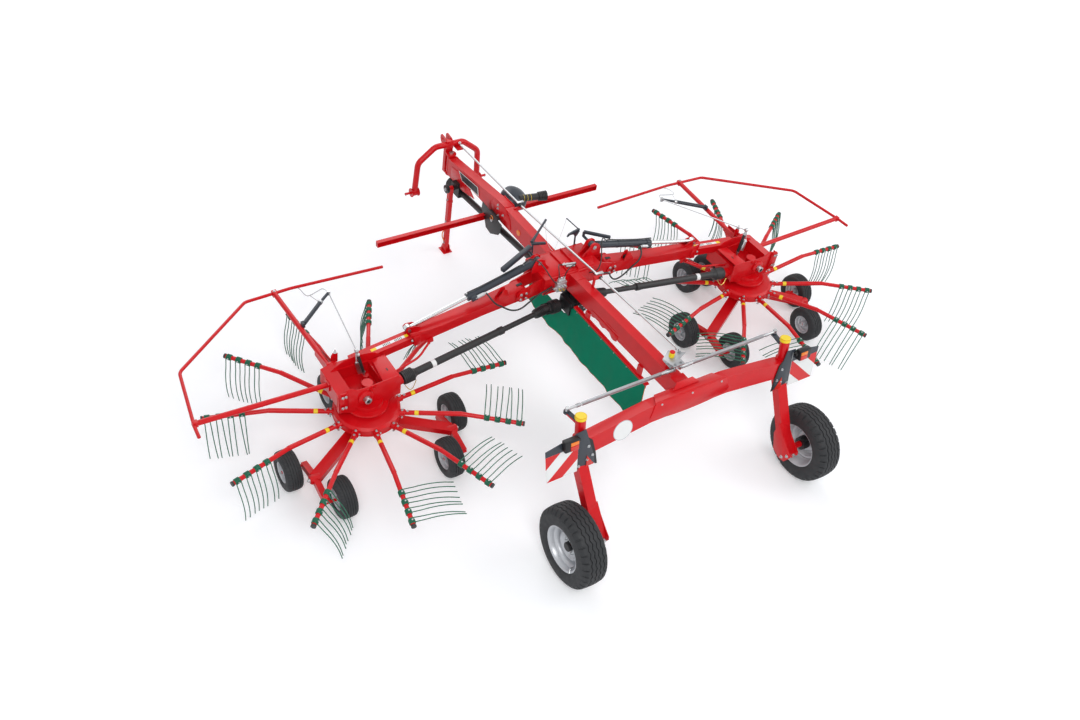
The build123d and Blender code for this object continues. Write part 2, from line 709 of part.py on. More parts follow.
def turned(label, centres, side, profile):
    """Write a node of one or more turned solids whose axes run across the machine."""
    with BuildPart() as wheel:
        for centre in centres:
            with BuildSketch(Plane(origin=centre, x_dir=(1, 0, 0), z_dir=(0, -1, 0))) as section:
                Polygon(*[(side * x, r) for x, r in profile], align=None)
            revolve(section.sketch, axis=Axis(centre, (1, 0, 0)))
    finish(wheel, label)


for name, side in SIDES:
    centre = point(side, WHEEL_X, 0, TYRE_RADIUS)
    turned(f"transport_tyre_{name}", [centre], side, TYRE_PROFILE)
    turned(f"transport_rim_{name}", [centre], side, RIM_PROFILE)

# Steering crank, its tie rods and the long steering rod.
CRANK_SHAPE = ((-93, 7), (19, 74), (154, -11), (60, -50), (58, -125), (-58, -125), (-66, -100))
with BuildPart() as steer_crank:
    with BuildSketch(floor_plane(CRANK_Z)):
        Polygon(*[(x, CRANK_Y + y) for x, y in CRANK_SHAPE], align=None)
    extrude(amount=CRANK_PLATE)
    for name, side in SIDES:
        round_bar(point(side, TIE_X, TIE_Y, TIE_Z - 18), point(side, TIE_X, TIE_Y, CRANK_Z + 4), TIE_PIN_RADIUS)
    round_bar(
        point(1, 0, CRANK_Y, CRANK_Z - 5),
        point(1, 0, CRANK_Y, CRANK_Z + 20),
        CRANK_PIN_RADIUS + FIT,
        mode=Mode.SUBTRACT,
    )
finish(steer_crank, "steer_crank")

for name, side in SIDES:
    with BuildPart() as tie_rod:
        round_bar(point(side, TIE_X, TIE_Y, TIE_Z - 14), point(side, TIE_X, TIE_Y, TIE_Z + 14), 19)
        round_bar(point(side, TIE_X, TIE_Y, TIE_Z), point(side, KING_X + 25, TIE_Y, TIE_Z), TIE_RADIUS)
        round_bar(point(side, KING_X + 25, TIE_Y, TIE_Z - 13), point(side, KING_X + 25, TIE_Y, TIE_Z + 20), 20)
        round_bar(
            point(side, TIE_X, TIE_Y, TIE_Z - 20),
            point(side, TIE_X, TIE_Y, TIE_Z + 20),
            TIE_PIN_RADIUS + FIT,
            mode=Mode.SUBTRACT,
        )
    finish(tie_rod, f"tie_rod_{name}")

with BuildPart() as steering_rod:
    for start, end in zip(STEER_ROUTE, STEER_ROUTE[1:]):
        round_bar(point(1, *start), point(1, *end), STEER_RADIUS)
    round_bar(point(1, *STEER_ROUTE[0]) - Vector(0, 0, 11), point(1, *STEER_ROUTE[0]) + Vector(0, 0, 11), 20)
finish(steering_rod, "steering_rod")

# Folding arms, lift cylinders, slides, heads and shafts, each built on both sides.
slope = radians(ARM_SLOPE)


def arm_plane(side, y):
    """Return the upright plane at station y whose first axis runs out along the arm."""
    return Plane(
        origin=point(side, PIVOT_X, y, PIVOT_Z),
        x_dir=(side * cos(slope), 0, -sin(slope)),
        z_dir=(0, -side, 0),
    )


def arm_point(side, out, y, up):
    """Return the point at a distance out along the arm and a height over its middle."""
    return arm_plane(side, y).from_local_coords(Vector(out, up, 0))


def toward(start, end, distance):
    """Return the point at a distance from start on the line to end."""
    return start + (end - start).normalized() * distance


for name, side in SIDES:
    lug = point(side, LUG_X, LIFT_Y, LUG_Z)
    eye = arm_point(side, ROD_EYE_OUT, LIFT_Y, ROD_EYE_UP)
    stroke_length = (eye - lug).length
    with BuildPart() as arm:
        with BuildSketch(arm_plane(side, ARM_Y)):
            Circle(ARM_ROOT_RADIUS)
            half = ARM_END_HEIGHT / 2
            Polygon(
                (0, -ARM_ROOT_RADIUS),
                (420, -half),
                (ARM_LENGTH, -half),
                (ARM_LENGTH, half),
                (420, half),
                (0, ARM_ROOT_RADIUS),
                align=None,
            )
        extrude(amount=ARM_WIDTH / 2, both=True)
        with BuildSketch(arm_plane(side, ARM_Y)):
            with Locations(((ARM_HOLLOW_START + ARM_LENGTH + 20) / 2, 0)):
                Rectangle(ARM_LENGTH + 20 - ARM_HOLLOW_START, ARM_END_HEIGHT - 2 * ARM_WALL)
        extrude(amount=ARM_WIDTH / 2 - ARM_WALL, both=True, mode=Mode.SUBTRACT)
        for offset in (-1, 1):
            y = LIFT_Y + offset * (EYE_WIDTH / 2 + PASS + 5)
            with BuildSketch(arm_plane(side, y)):
                Polygon(
                    (ARM_LENGTH - 126, ARM_END_HEIGHT / 2 - 6),
                    (ARM_LENGTH - 16, ARM_END_HEIGHT / 2 - 6),
                    (ROD_EYE_OUT + 14, ROD_EYE_UP - 14),
                    (ROD_EYE_OUT - 14, ROD_EYE_UP + 30),
                    (ROD_EYE_OUT - 62, ROD_EYE_UP + 18),
                    align=None,
                )
                with Locations((ROD_EYE_OUT, ROD_EYE_UP)):
                    Circle(EYE_RADIUS - 4)
            extrude(amount=5, both=True)
        round_bar(
            point(side, PIVOT_X, ARM_Y - ARM_WIDTH, PIVOT_Z),
            point(side, PIVOT_X, ARM_Y + ARM_WIDTH, PIVOT_Z),
            PIVOT_PIN_RADIUS + FIT,
            mode=Mode.SUBTRACT,
        )
    finish(arm, f"arm_{name}")

    with BuildPart() as lift_barrel:
        half = Vector(0, EYE_WIDTH / 2, 0)
        round_bar(lug - half, lug + half, EYE_RADIUS)
        round_bar(toward(lug, eye, 20), toward(lug, eye, BARREL_START + 5), EYE_WIDTH / 2)
        round_bar(toward(lug, eye, BARREL_START), toward(lug, eye, BARREL_END), BARREL_RADIUS)
        bore_end = toward(lug, eye, BARREL_END + 5)
        round_bar(toward(lug, eye, 120), bore_end, LIFT_ROD_RADIUS + FIT, mode=Mode.SUBTRACT)
        round_bar(lug - half * 2, lug + half * 2, LUG_PIN_RADIUS + FIT, mode=Mode.SUBTRACT)
    finish(lift_barrel, f"lift_barrel_{name}")

    with BuildPart() as lift_rod:
        round_bar(toward(lug, eye, LIFT_ROD_START), toward(lug, eye, stroke_length - 20), LIFT_ROD_RADIUS)
        round_bar(eye - half, eye + half, EYE_RADIUS)
        round_bar(eye - half * 2, eye + half * 2, LUG_PIN_RADIUS, mode=Mode.SUBTRACT)
    finish(lift_rod, f"lift_rod_{name}")

    shaft_start = point(side, SHAFT_X, SHAFT_Y, SHAFT_Z)
    shaft_end = point(side, SHAFT_END_X, SHAFT_END_Y, SHAFT_END_Z)
    shaft_length = (shaft_end - shaft_start).length
    with BuildPart() as rotor_head:
        flat_bar(arm_point(side, SLIDE_START, ARM_Y, 0), arm_point(side, SLIDE_END, ARM_Y, 0), SLIDE_WIDTH, SLIDE_HEIGHT)
        with BuildSketch(side_plane(HEAD_FRONT)):
            Polygon(
                (side * HEAD_INNER, HEAD_BOTTOM),
                (side * HEAD_OUTER, HEAD_BOTTOM),
                (side * HEAD_OUTER, HEAD_TOP - 30),
                (side * (HEAD_OUTER - 120), HEAD_TOP),
                (side * HEAD_INNER, HEAD_TOP - 20),
                align=None,
            )
        extrude(amount=HEAD_FRONT - HEAD_BACK)
        pocket_low = point(side, ROTOR_X - 130, HEAD_BACK + HEAD_WALL, POCKET_FLOOR)
        pocket_high = point(side, ROTOR_X + 175, ARM_Y - SLIDE_WIDTH / 2 - HEAD_WALL, HEAD_TOP + 5)
        block(pocket_low, pocket_high, mode=Mode.SUBTRACT)
        round_bar(point(side, ROTOR_X, ROTOR_Y, FRAME_TOP + SEAT), point(side, ROTOR_X, ROTOR_Y, HEAD_TOP), POST_RADIUS)
        round_bar(point(side, ROTOR_X, ROTOR_Y, HUB_TOP + 18), point(side, ROTOR_X, ROTOR_Y, HEAD_BOTTOM), 145)
        round_bar(shaft_end, toward(shaft_end, shaft_start, -90), 48)
        round_bar(
            point(side, ROTOR_X + 52, HEAD_BACK + 10, 758),
            point(side, ROTOR_X + 52, HEAD_BACK - 24, 758),
            55,
        )
    finish(rotor_head, f"rotor_head_{name}")

    along = (shaft_end - shaft_start).normalized()
    with BuildPart() as inner_shaft:
        with BuildSketch(Plane(origin=shaft_start, x_dir=along, z_dir=along.cross(Vector(0, 0, 1)))):
            Polygon(*INNER_SHAFT_PROFILE, align=None)
        revolve(axis=Axis(shaft_start, along))
        across = Vector(0, 70, 0)
        round_bar(shaft_start - across, shaft_start + across, SHAFT_PIN_RADIUS + FIT, mode=Mode.SUBTRACT)
    finish(inner_shaft, f"inner_shaft_{name}")

    with BuildPart() as outer_shaft:
        last = shaft_length - SHAFT_GAP
        round_bar(toward(shaft_start, shaft_end, 520), toward(shaft_start, shaft_end, last), OUTER_SHAFT_RADIUS)
        round_bar(toward(shaft_start, shaft_end, last - 110), toward(shaft_start, shaft_end, last), BELL_RADIUS)
        bore_end = toward(shaft_start, shaft_end, 1380)
        round_bar(shaft_start, bore_end, INNER_SHAFT_RADIUS + SLIDE_FIT, mode=Mode.SUBTRACT)
    finish(outer_shaft, f"outer_shaft_{name}")

    # Frame under the rotor: centre block, two tandems and the twin front axle.
    with BuildPart() as rotor_frame:
        centre = point(side, ROTOR_X, ROTOR_Y, 408)
        round_bar(
            point(side, ROTOR_X, ROTOR_Y, FRAME_BOTTOM),
            point(side, ROTOR_X, ROTOR_Y, FRAME_TOP),
            135,
        )
        for x in (TANDEM_IN_X, TANDEM_OUT_X):
            pivot = point(side, x, TANDEM_Y, 262)
            flat_bar(centre, pivot + Vector(0, 0, 4), 110, 58)
            round_bar(pivot - Vector(45, 0, 0), pivot + Vector(45, 0, 0), 44)
            for reach in (-1, 1):
                hub = point(side, x, TANDEM_Y + reach * TANDEM_HALF, WHEEL_RADIUS)
                flat_bar(pivot - Vector(0, 0, 6), hub, 56, 68)
                outward = reach if x == TANDEM_OUT_X else -reach
                tip = hub + Vector(side * outward * (WHEEL_OFFSET + 68), 0, 0)
                round_bar(hub - Vector(side * outward * 28, 0, 0), tip, WHEEL_AXLE)
        axle = point(side, TWIN_X, TWIN_Y, WHEEL_RADIUS)
        knee = point(side, TWIN_X, TWIN_Y - 150, 350)
        flat_bar(centre, knee, 68, 62)
        flat_bar(knee + Vector(0, -20, 10), axle + Vector(0, 0, -6), 66, 60)
        reach = Vector(WHEEL_OFFSET + 68, 0, 0)
        round_bar(axle - reach, axle + reach, WHEEL_AXLE)
    finish(rotor_frame, f"rotor_frame_{name}")

# Wheels under the rotors. Positions are from the rotor frame's layout.
SMALL_WHEELS = (
    ("inner_front", TANDEM_IN_X - WHEEL_OFFSET, TANDEM_Y + TANDEM_HALF),
    ("inner_rear", TANDEM_IN_X + WHEEL_OFFSET, TANDEM_Y - TANDEM_HALF),
    ("outer_front", TANDEM_OUT_X + WHEEL_OFFSET, TANDEM_Y + TANDEM_HALF),
    ("outer_rear", TANDEM_OUT_X - WHEEL_OFFSET, TANDEM_Y - TANDEM_HALF),
)
for name, side in SIDES:
    for place, x, y in SMALL_WHEELS:
        turned(f"wheel_{place}_{name}", [point(side, x, y, WHEEL_RADIUS)], side, SMALL_PROFILE)
    twins = [point(side, TWIN_X + d * WHEEL_OFFSET, TWIN_Y, WHEEL_RADIUS) for d in (-1, 1)]
    turned(f"wheel_twin_{name}", twins, side, SMALL_PROFILE)


def roll_at(angle):
    """Return how far the prongs are turned up at an arm's angle on the left rotor, in degrees."""
    angle = angle % 360
    if angle < 45:
        return 88 - 78 * angle / 45
    if angle <= 215:
        return 10
    if angle < 260:
        return 10 + 78 * (angle - 215) / 45
    return 88


# Rotors: hub with its arms, then the prong holders and prongs as a piece of their own.
spoke_drop = atan2(SPOKE_KINK_Z - SPOKE_TIP_Z, SPOKE_TIP - SPOKE_KINK)
for name, side in SIDES:
    hub_centre = point(side, ROTOR_X, ROTOR_Y, 0)
    first = LEFT_FIRST_ARM if side < 0 else 180 - RIGHT_FIRST_ARM
    angles = [first + 360 / ARM_COUNT * index for index in range(ARM_COUNT)]
    inner_spokes = []
    outer_spokes = []
    holders = []
    upper_prongs = []
    lower_prongs = []
    for angle in angles:
        turn = radians(angle)
        roll = radians(roll_at(angle))
        out = Vector(-side * cos(turn), sin(turn), 0)
        trail = Vector(side * sin(turn), cos(turn), 0)
        root = hub_centre + out * SPOKE_ROOT + Vector(0, 0, SPOKE_ROOT_Z)
        kink = hub_centre + out * SPOKE_KINK + Vector(0, 0, SPOKE_KINK_Z)
        tip = hub_centre + out * SPOKE_TIP + Vector(0, 0, SPOKE_TIP_Z)
        spoke = (tip - kink).normalized()
        under = out * -sin(spoke_drop) - Vector(0, 0, cos(spoke_drop))
        down = trail * sin(roll) + under * cos(roll)
        back = trail * cos(roll) - under * sin(roll)
        low = down * cos(radians(PRONG_BEND)) - back * sin(radians(PRONG_BEND))
        inner_spokes.append(Plane(origin=root, z_dir=kink - root))
        outer_spokes.append(Plane(origin=kink - spoke * 3, z_dir=spoke))
        for index in range(HOLDERS):
            distance = (HOLDER_FIRST + HOLDER_PITCH * index - SPOKE_KINK) / cos(spoke_drop)
            seat = kink + spoke * distance + down * (SPOKE_RADIUS + SEAT)
            holders.append(Plane(origin=seat, x_dir=spoke, z_dir=down))
            for half in (-0.5, 0.5):
                top = seat + down * (HOLDER_SIZE[2] - 6) + spoke * (half * PRONG_SPACING)
                upper_prongs.append(Plane(origin=top, x_dir=spoke, z_dir=down))
                lower_prongs.append(Plane(origin=top + down * PRONG_UPPER - low * 3, x_dir=spoke, z_dir=low))
    with BuildPart() as rotor_hub:
        with BuildSketch(Plane(origin=hub_centre, x_dir=(1, 0, 0), z_dir=(0, -1, 0))) as hub_section:
            Polygon(
                (0, HUB_BOTTOM),
                (HUB_RADIUS, HUB_BOTTOM),
                (HUB_RADIUS, HUB_SHOULDER),
                (HUB_RADIUS - 26, HUB_SHOULDER + 18),
                (HUB_CROWN, HUB_TOP - 6),
                (HUB_CROWN - 14, HUB_TOP),
                (0, HUB_TOP),
                align=None,
            )
        revolve(hub_section.sketch, axis=Axis(hub_centre, (0, 0, 1)))
        with Locations(*inner_spokes):
            Cylinder(INNER_SPOKE_RADIUS, (kink - root).length + 6, align=MIN)
        with Locations(*outer_spokes):
            Cylinder(SPOKE_RADIUS, (tip - kink).length + 3, align=MIN)
        bore_low = hub_centre + Vector(0, 0, HUB_BOTTOM - 5)
        round_bar(bore_low, hub_centre + Vector(0, 0, HUB_TOP + 5), POST_RADIUS + FIT, mode=Mode.SUBTRACT)
    finish(rotor_hub, f"rotor_hub_{name}")

    with BuildPart() as rotor_tines:
        with Locations(*holders):
            Box(*HOLDER_SIZE, align=MIN)
        with Locations(*upper_prongs):
            Box(PRONG_SIZE, PRONG_SIZE, PRONG_UPPER, align=MIN)
        with Locations(*lower_prongs):
            Box(PRONG_SIZE, PRONG_SIZE, PRONG_LOWER, align=MIN)
    finish(rotor_tines, f"rotor_tines_{name}")

# Guards round the outside of each rotor. The bent tube lies in a plane that rises outward.
GUARD_RADIUS = 16.0
GUARD_BEND = 110.0
GUARD_RISE = 0.0442
GUARD_START = (ROTOR_X - 940, 708.0)
GUARD_SHAPE = (
    (-940, 1585),
    (63, 1588),
    (546, 1543),
    (1419, 838),
    (1522, 175),
    (1531, 29),
)
STRUT_RADIUS = 25.0
FRONT_STRUT_X = ROTOR_X + 175
FRONT_JOIN = (ROTOR_X + 235, ROTOR_Y + 1572)
OUTER_STRUT_Y = ROTOR_Y + 192
OUTER_JOIN_X = ROTOR_X + 1519


def guard_height(x):
    """Return the height of the bent guard tube at a distance x from the middle."""
    return GUARD_START[1] + GUARD_RISE * (x - GUARD_START[0])


for name, side in SIDES:
    tilt = atan2(GUARD_RISE, 1)
    x0, z0 = GUARD_START
    plane = Plane(
        origin=point(side, x0, 0, z0),
        x_dir=(side * cos(tilt), 0, sin(tilt)),
        z_dir=(-sin(tilt), 0, side * cos(tilt)),
    )
    with BuildPart() as guard:
        with BuildLine(plane) as guard_line:
            corners = [((ROTOR_X + x - x0) / cos(tilt), ROTOR_Y + y) for x, y in GUARD_SHAPE]
            FilletPolyline(*corners, radius=GUARD_BEND)
        with BuildSketch(Plane(origin=guard_line.line @ 0, z_dir=guard_line.line % 0)):
            Circle(GUARD_RADIUS)
        sweep()
        front_root = point(side, FRONT_STRUT_X, HEAD_FRONT + SEAT, 748)
        block(front_root - Vector(45, 0, 45), front_root + Vector(45, 12, 45))
        front_join = point(side, *FRONT_JOIN, guard_height(FRONT_JOIN[0]))
        round_bar(front_root + Vector(0, 6, 0), front_join, STRUT_RADIUS)
        outer_root = point(side, HEAD_OUTER + SEAT, OUTER_STRUT_Y, 772)
        block(outer_root - Vector(0, 45, 40), outer_root + Vector(side * 12, 45, 40))
        outer_join = point(side, OUTER_JOIN_X, OUTER_STRUT_Y, guard_height(OUTER_JOIN_X))
        round_bar(outer_root + Vector(side * 6, 0, 0), outer_join, STRUT_RADIUS)
    finish(guard, f"guard_{name}")
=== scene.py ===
"""Looks of a twin rotor hay rake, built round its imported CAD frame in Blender 4.5."""

import json
import logging
import math
import random
from dataclasses import dataclass
from enum import Enum
from typing import Iterable, Sequence

import bmesh
import bpy
from mathutils import Matrix, Vector

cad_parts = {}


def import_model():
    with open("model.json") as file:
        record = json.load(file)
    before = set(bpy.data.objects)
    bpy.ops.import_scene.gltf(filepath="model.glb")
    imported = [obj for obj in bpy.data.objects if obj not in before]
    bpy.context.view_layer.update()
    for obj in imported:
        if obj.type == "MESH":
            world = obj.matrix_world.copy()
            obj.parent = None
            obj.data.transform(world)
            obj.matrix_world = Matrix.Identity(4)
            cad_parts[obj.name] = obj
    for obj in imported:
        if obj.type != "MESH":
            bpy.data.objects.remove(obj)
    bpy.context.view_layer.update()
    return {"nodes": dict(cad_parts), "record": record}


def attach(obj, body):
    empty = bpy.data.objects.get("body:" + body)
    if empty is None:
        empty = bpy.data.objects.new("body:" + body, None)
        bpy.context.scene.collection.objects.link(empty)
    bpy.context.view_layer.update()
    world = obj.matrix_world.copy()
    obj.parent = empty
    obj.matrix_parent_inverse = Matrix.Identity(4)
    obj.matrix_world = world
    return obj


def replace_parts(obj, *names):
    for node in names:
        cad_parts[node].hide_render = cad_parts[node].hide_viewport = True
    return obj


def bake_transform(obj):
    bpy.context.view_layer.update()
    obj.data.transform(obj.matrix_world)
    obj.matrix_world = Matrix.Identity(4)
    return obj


LOG = logging.getLogger("hay_rake")

AXLE_Y = -2.275
ARM_SLOPE = math.radians(8.5)
ARM_PIVOT = (0.532, 1.078)
KINGPIN_LEAN = math.radians(10.5)
KINGPIN_MIDDLE = (0.4255, 1.130)
PHOTO_WIDTH = 1080.0
SIDES = {"left": -1.0, "right": 1.0}
RIGHT = Vector((1, 0, 0))
AHEAD = Vector((0, 1, 0))
REARWARD = Vector((0, -1, 0))
UP = Vector((0, 0, 1))


class Coat(Enum):
    """How a finish's surface is built up."""

    PAINT = "paint"
    METAL = "metal"
    RUBBER = "rubber"
    PLASTIC = "plastic"
    CLOTH = "cloth"


@dataclass(frozen=True)
class Finish:
    """One surface finish.

    Attributes:
        name: Name of the material.
        slot: Material slot of the record that it belongs to; not used.
        colour: Base colour, linear RGB.
        coat: The kind of surface.
        roughness: Roughness of the surface.
        metallic: How metallic it is.
        wear: How far the colour varies, from 0 to 1.
        grain: Size of the variation, as a noise scale.
        bump: Depth of the fine relief in millimetres.
    """

    name: str
    slot: str
    colour: tuple[float, float, float]
    coat: Coat
    roughness: float
    metallic: float = 0.0
    wear: float = 0.1
    grain: float = 9.0
    bump: float = 0.0


RED = Finish("red_gloss", "red_paint", (0.60, 0.003, 0.007), Coat.PAINT, 0.30, wear=0.10, bump=0.03)
BLACK = Finish("black_satin", "dark_paint", (0.012, 0.012, 0.013), Coat.PAINT, 0.42, wear=0.15)
GREY_PAINT = Finish("blue_grey_paint", "dark_paint", (0.036, 0.043, 0.054), Coat.PAINT, 0.34, wear=0.12)
GALVANISED = Finish(
    "galvanised", "galvanised", (0.36, 0.37, 0.385), Coat.METAL, 0.42, metallic=0.85, wear=0.18, grain=40.0
)
LIGHT_STEEL = Finish(
    "light_steel", "light_steel", (0.50, 0.51, 0.52), Coat.METAL, 0.34, metallic=0.95, wear=0.08
)
ALUMINIUM = Finish(
    "cast_aluminium", "light_steel", (0.55, 0.56, 0.57), Coat.METAL, 0.44, metallic=0.85, bump=0.08
)
BRASS = Finish("yellow_zinc", "light_steel", (0.62, 0.44, 0.12), Coat.METAL, 0.32, metallic=0.9, wear=0.20)
CHROME = Finish("chrome", "chrome_rod", (0.62, 0.63, 0.64), Coat.METAL, 0.16, metallic=1.0, wear=0.02)
RIM_SILVER = Finish(
    "rim_silver", "rim_silver", (0.50, 0.51, 0.53), Coat.PAINT, 0.34, metallic=0.35, wear=0.08
)
TYRE = Finish(
    "tyre_rubber", "tyre_rubber", (0.016, 0.017, 0.019), Coat.RUBBER, 0.70, wear=0.30, grain=22.0, bump=0.25
)
PLASTIC = Finish(
    "black_plastic", "black_plastic", (0.014, 0.014, 0.015), Coat.PLASTIC, 0.48, wear=0.12, bump=0.1
)
ROPE = Finish("white_rope", "board_white", (0.70, 0.69, 0.66), Coat.CLOTH, 0.75, wear=0.10, bump=0.2)
GREEN_STEEL = Finish("green_tines", "spring_steel", (0.006, 0.120, 0.062), Coat.PAINT, 0.34, wear=0.12)
CURTAIN = Finish(
    "green_curtain", "curtain_green", (0.001, 0.200, 0.108), Coat.CLOTH, 0.70, wear=0.08, bump=0.3
)
ORANGE_EDGE = Finish(
    "orange_hem", "curtain_green", (0.86, 0.16, 0.01), Coat.CLOTH, 0.60, wear=0.06, bump=0.1
)
BOARD = Finish("board_white", "board_white", (0.82, 0.82, 0.80), Coat.PAINT, 0.30, wear=0.04)
STRIPE_RED = Finish("stripe_red", "board_white", (0.66, 0.012, 0.014), Coat.PAINT, 0.30, wear=0.05)
YELLOW = Finish("yellow_cap", "black_plastic", (0.86, 0.62, 0.01), Coat.PLASTIC, 0.35, wear=0.05, bump=0.05)
LAMP_RED = Finish("lamp_red", "lamp_plastic", (0.62, 0.02, 0.01), Coat.PLASTIC, 0.16, wear=0.02)
ORANGE = Finish("lamp_orange", "lamp_plastic", (0.85, 0.20, 0.01), Coat.PLASTIC, 0.22, wear=0.03)
PALE_FLOOR = Finish("studio_floor", "board_white", (0.86, 0.86, 0.86), Coat.CLOTH, 0.90, wear=0.01)

NODE_FINISHES = {
    "red_paint": RED, "dark_paint": BLACK, "galvanised": GALVANISED, "rim_silver": RIM_SILVER,
    "spring_steel": GREEN_STEEL, "tyre_rubber": TYRE, "black_plastic": PLASTIC, "board_white": BOARD,
    "lamp_plastic": LAMP_RED, "curtain_green": CURTAIN, "chrome_rod": CHROME,
    "light_steel": LIGHT_STEEL,
}


FINE_GRAIN = 260.0
PAINT_LOOK = {"Coat Weight": 0.1, "Coat Roughness": 0.15, "Specular IOR Level": 0.26}
CLOTH_LOOK = {"Sheen Weight": 0.0, "Specular IOR Level": 0.1}


def set_inputs(node: bpy.types.Node, values: dict[str, float | tuple[float, ...]]) -> None:
    """Set the unlinked inputs of a shader node by their names."""
    for name, value in values.items():
        node.inputs[name].default_value = value


def calculate(tree: bpy.types.NodeTree, operation: str, *terms: bpy.types.NodeSocket) -> bpy.types.Node:
    """Add a math node to a tree and feed it.

    Args:
        tree: The tree.
        operation: What the node does.
        terms: Output sockets that feed it, in order.

    Returns:
        The node.
    """
    node = tree.nodes.new("ShaderNodeMath")
    node.operation = operation
    for index, term in enumerate(terms):
        tree.links.new(term, node.inputs[index])
    return node


def direct_rays(tree: bpy.types.NodeTree) -> bpy.types.NodeSocket:
    """Return a socket that is 1 for camera, glossy and transmission rays and 0 for all others."""
    path = tree.nodes.new("ShaderNodeLightPath").outputs
    glossy = calculate(tree, "MAXIMUM", path["Is Glossy Ray"], path["Is Transmission Ray"])
    return calculate(tree, "MAXIMUM", path["Is Camera Ray"], glossy.outputs["Value"]).outputs["Value"]


class Palette:
    """Makes each finish's material once and hands it out."""

    def __init__(self) -> None:
        """Start with no material made."""
        self._made: dict[str, bpy.types.Material] = {}
        self._variation = self._build_variation_group()

    def _build_variation_group(self) -> bpy.types.NodeTree:
        """Build the group that varies a colour and a roughness over a surface.

        Returns:
            The node group, with Colour and Roughness outputs.
        """
        group = bpy.data.node_groups.new("surface_variation", "ShaderNodeTree")
        face = group.interface
        for name in ("Colour", "Roughness", "Wear", "Grain"):
            kind = "NodeSocketColor" if name == "Colour" else "NodeSocketFloat"
            face.new_socket(name, in_out="INPUT", socket_type=kind)
        face.new_socket("Colour", in_out="OUTPUT", socket_type="NodeSocketColor")
        face.new_socket("Roughness", in_out="OUTPUT", socket_type="NodeSocketFloat")
        nodes, links = group.nodes, group.links
        given = nodes.new("NodeGroupInput")
        result = nodes.new("NodeGroupOutput")
        where = nodes.new("ShaderNodeTexCoord")
        noise = nodes.new("ShaderNodeTexNoise")
        noise.inputs["Detail"].default_value = 4.0
        spread = nodes.new("ShaderNodeMapRange")
        set_inputs(spread, {"From Min": 0.3, "From Max": 0.7, "To Min": -0.5, "To Max": 0.5})
        amount = calculate(group, "MULTIPLY", spread.outputs["Result"], given.outputs["Wear"])
        value = calculate(group, "ADD", amount.outputs["Value"])
        value.inputs[1].default_value = 1.0
        tint = nodes.new("ShaderNodeHueSaturation")
        rough = calculate(group, "MULTIPLY", given.outputs["Roughness"], value.outputs["Value"])
        rough.use_clamp = True
        links.new(where.outputs["Object"], noise.inputs["Vector"])
        links.new(given.outputs["Grain"], noise.inputs["Scale"])
        links.new(noise.outputs["Fac"], spread.inputs["Value"])
        links.new(value.outputs["Value"], tint.inputs["Value"])
        links.new(given.outputs["Colour"], tint.inputs["Color"])
        links.new(tint.outputs["Color"], result.inputs["Colour"])
        links.new(rough.outputs["Value"], result.inputs["Roughness"])
        return group

    def material(self, finish: Finish) -> bpy.types.Material:
        """Return the material of a finish.

        Args:
            finish: The finish asked for.

        Returns:
            Its material, made at the first call.
        """
        if finish.name in self._made:
            return self._made[finish.name]
        material = bpy.data.materials.new(finish.name)
        material.use_nodes = True
        nodes, links = material.node_tree.nodes, material.node_tree.links
        shader = nodes["Principled BSDF"]
        shader.inputs["Metallic"].default_value = finish.metallic
        if finish.coat is Coat.PAINT:
            set_inputs(shader, PAINT_LOOK)
        if finish.coat is Coat.CLOTH:
            set_inputs(shader, CLOTH_LOOK)
        vary = nodes.new("ShaderNodeGroup")
        vary.node_tree = self._variation
        set_inputs(vary, {"Colour": (*finish.colour, 1.0), "Roughness": finish.roughness})
        set_inputs(vary, {"Wear": finish.wear, "Grain": finish.grain})
        links.new(vary.outputs["Colour"], shader.inputs["Base Color"])
        links.new(vary.outputs["Roughness"], shader.inputs["Roughness"])
        if finish.bump > 0:
            where = nodes.new("ShaderNodeTexCoord")
            noise = nodes.new("ShaderNodeTexNoise")
            noise.inputs["Scale"].default_value = FINE_GRAIN
            relief = nodes.new("ShaderNodeBump")
            set_inputs(relief, {"Distance": finish.bump / 1000, "Strength": 0.5})
            links.new(where.outputs["Object"], noise.inputs["Vector"])
            links.new(noise.outputs["Fac"], relief.inputs["Height"])
            links.new(relief.outputs["Normal"], shader.inputs["Normal"])
        self._made[finish.name] = material
        return material


def spot(side: float, x: float, y: float, z: float) -> Vector:
    """Return a point of the row frame in metres.

    Args:
        side: -1 for the left, 1 for the right.
        x: Distance from the middle.
        y: Station ahead of the transport axle.
        z: Height.

    Returns:
        The point.
    """
    return Vector((side * x, AXLE_Y + y, z))


def raked(x: float, up: float, back: float) -> Vector:
    """Return a point on the leaning plane of the rear axle.

    Args:
        x: Distance to the right.
        up: Distance up the kingpins' direction.
        back: Distance behind the kingpins.

    Returns:
        The point.
    """
    sine, cosine = math.sin(KINGPIN_LEAN), math.cos(KINGPIN_LEAN)
    y = KINGPIN_MIDDLE[0] + up * sine - back * cosine
    return Vector((x, AXLE_Y + y, KINGPIN_MIDDLE[1] + up * cosine + back * sine))


RAKED_UP = raked(0, 1, 0) - raked(0, 0, 0)
RAKED_BACK = raked(0, 0, 1) - raked(0, 0, 0)


def along_arm(side: float, out: float, y: float, up: float) -> Vector:
    """Return a point at a distance out along a folding arm and a height over its middle.

    Args:
        side: -1 for the left, 1 for the right.
        out: Distance from the pivot along the arm.
        y: Station ahead of the transport axle.
        up: Height over the arm's middle line.

    Returns:
        The point.
    """
    sine, cosine = math.sin(ARM_SLOPE), math.cos(ARM_SLOPE)
    x = ARM_PIVOT[0] + out * cosine + up * sine
    return spot(side, x, y, ARM_PIVOT[1] - out * sine + up * cosine)


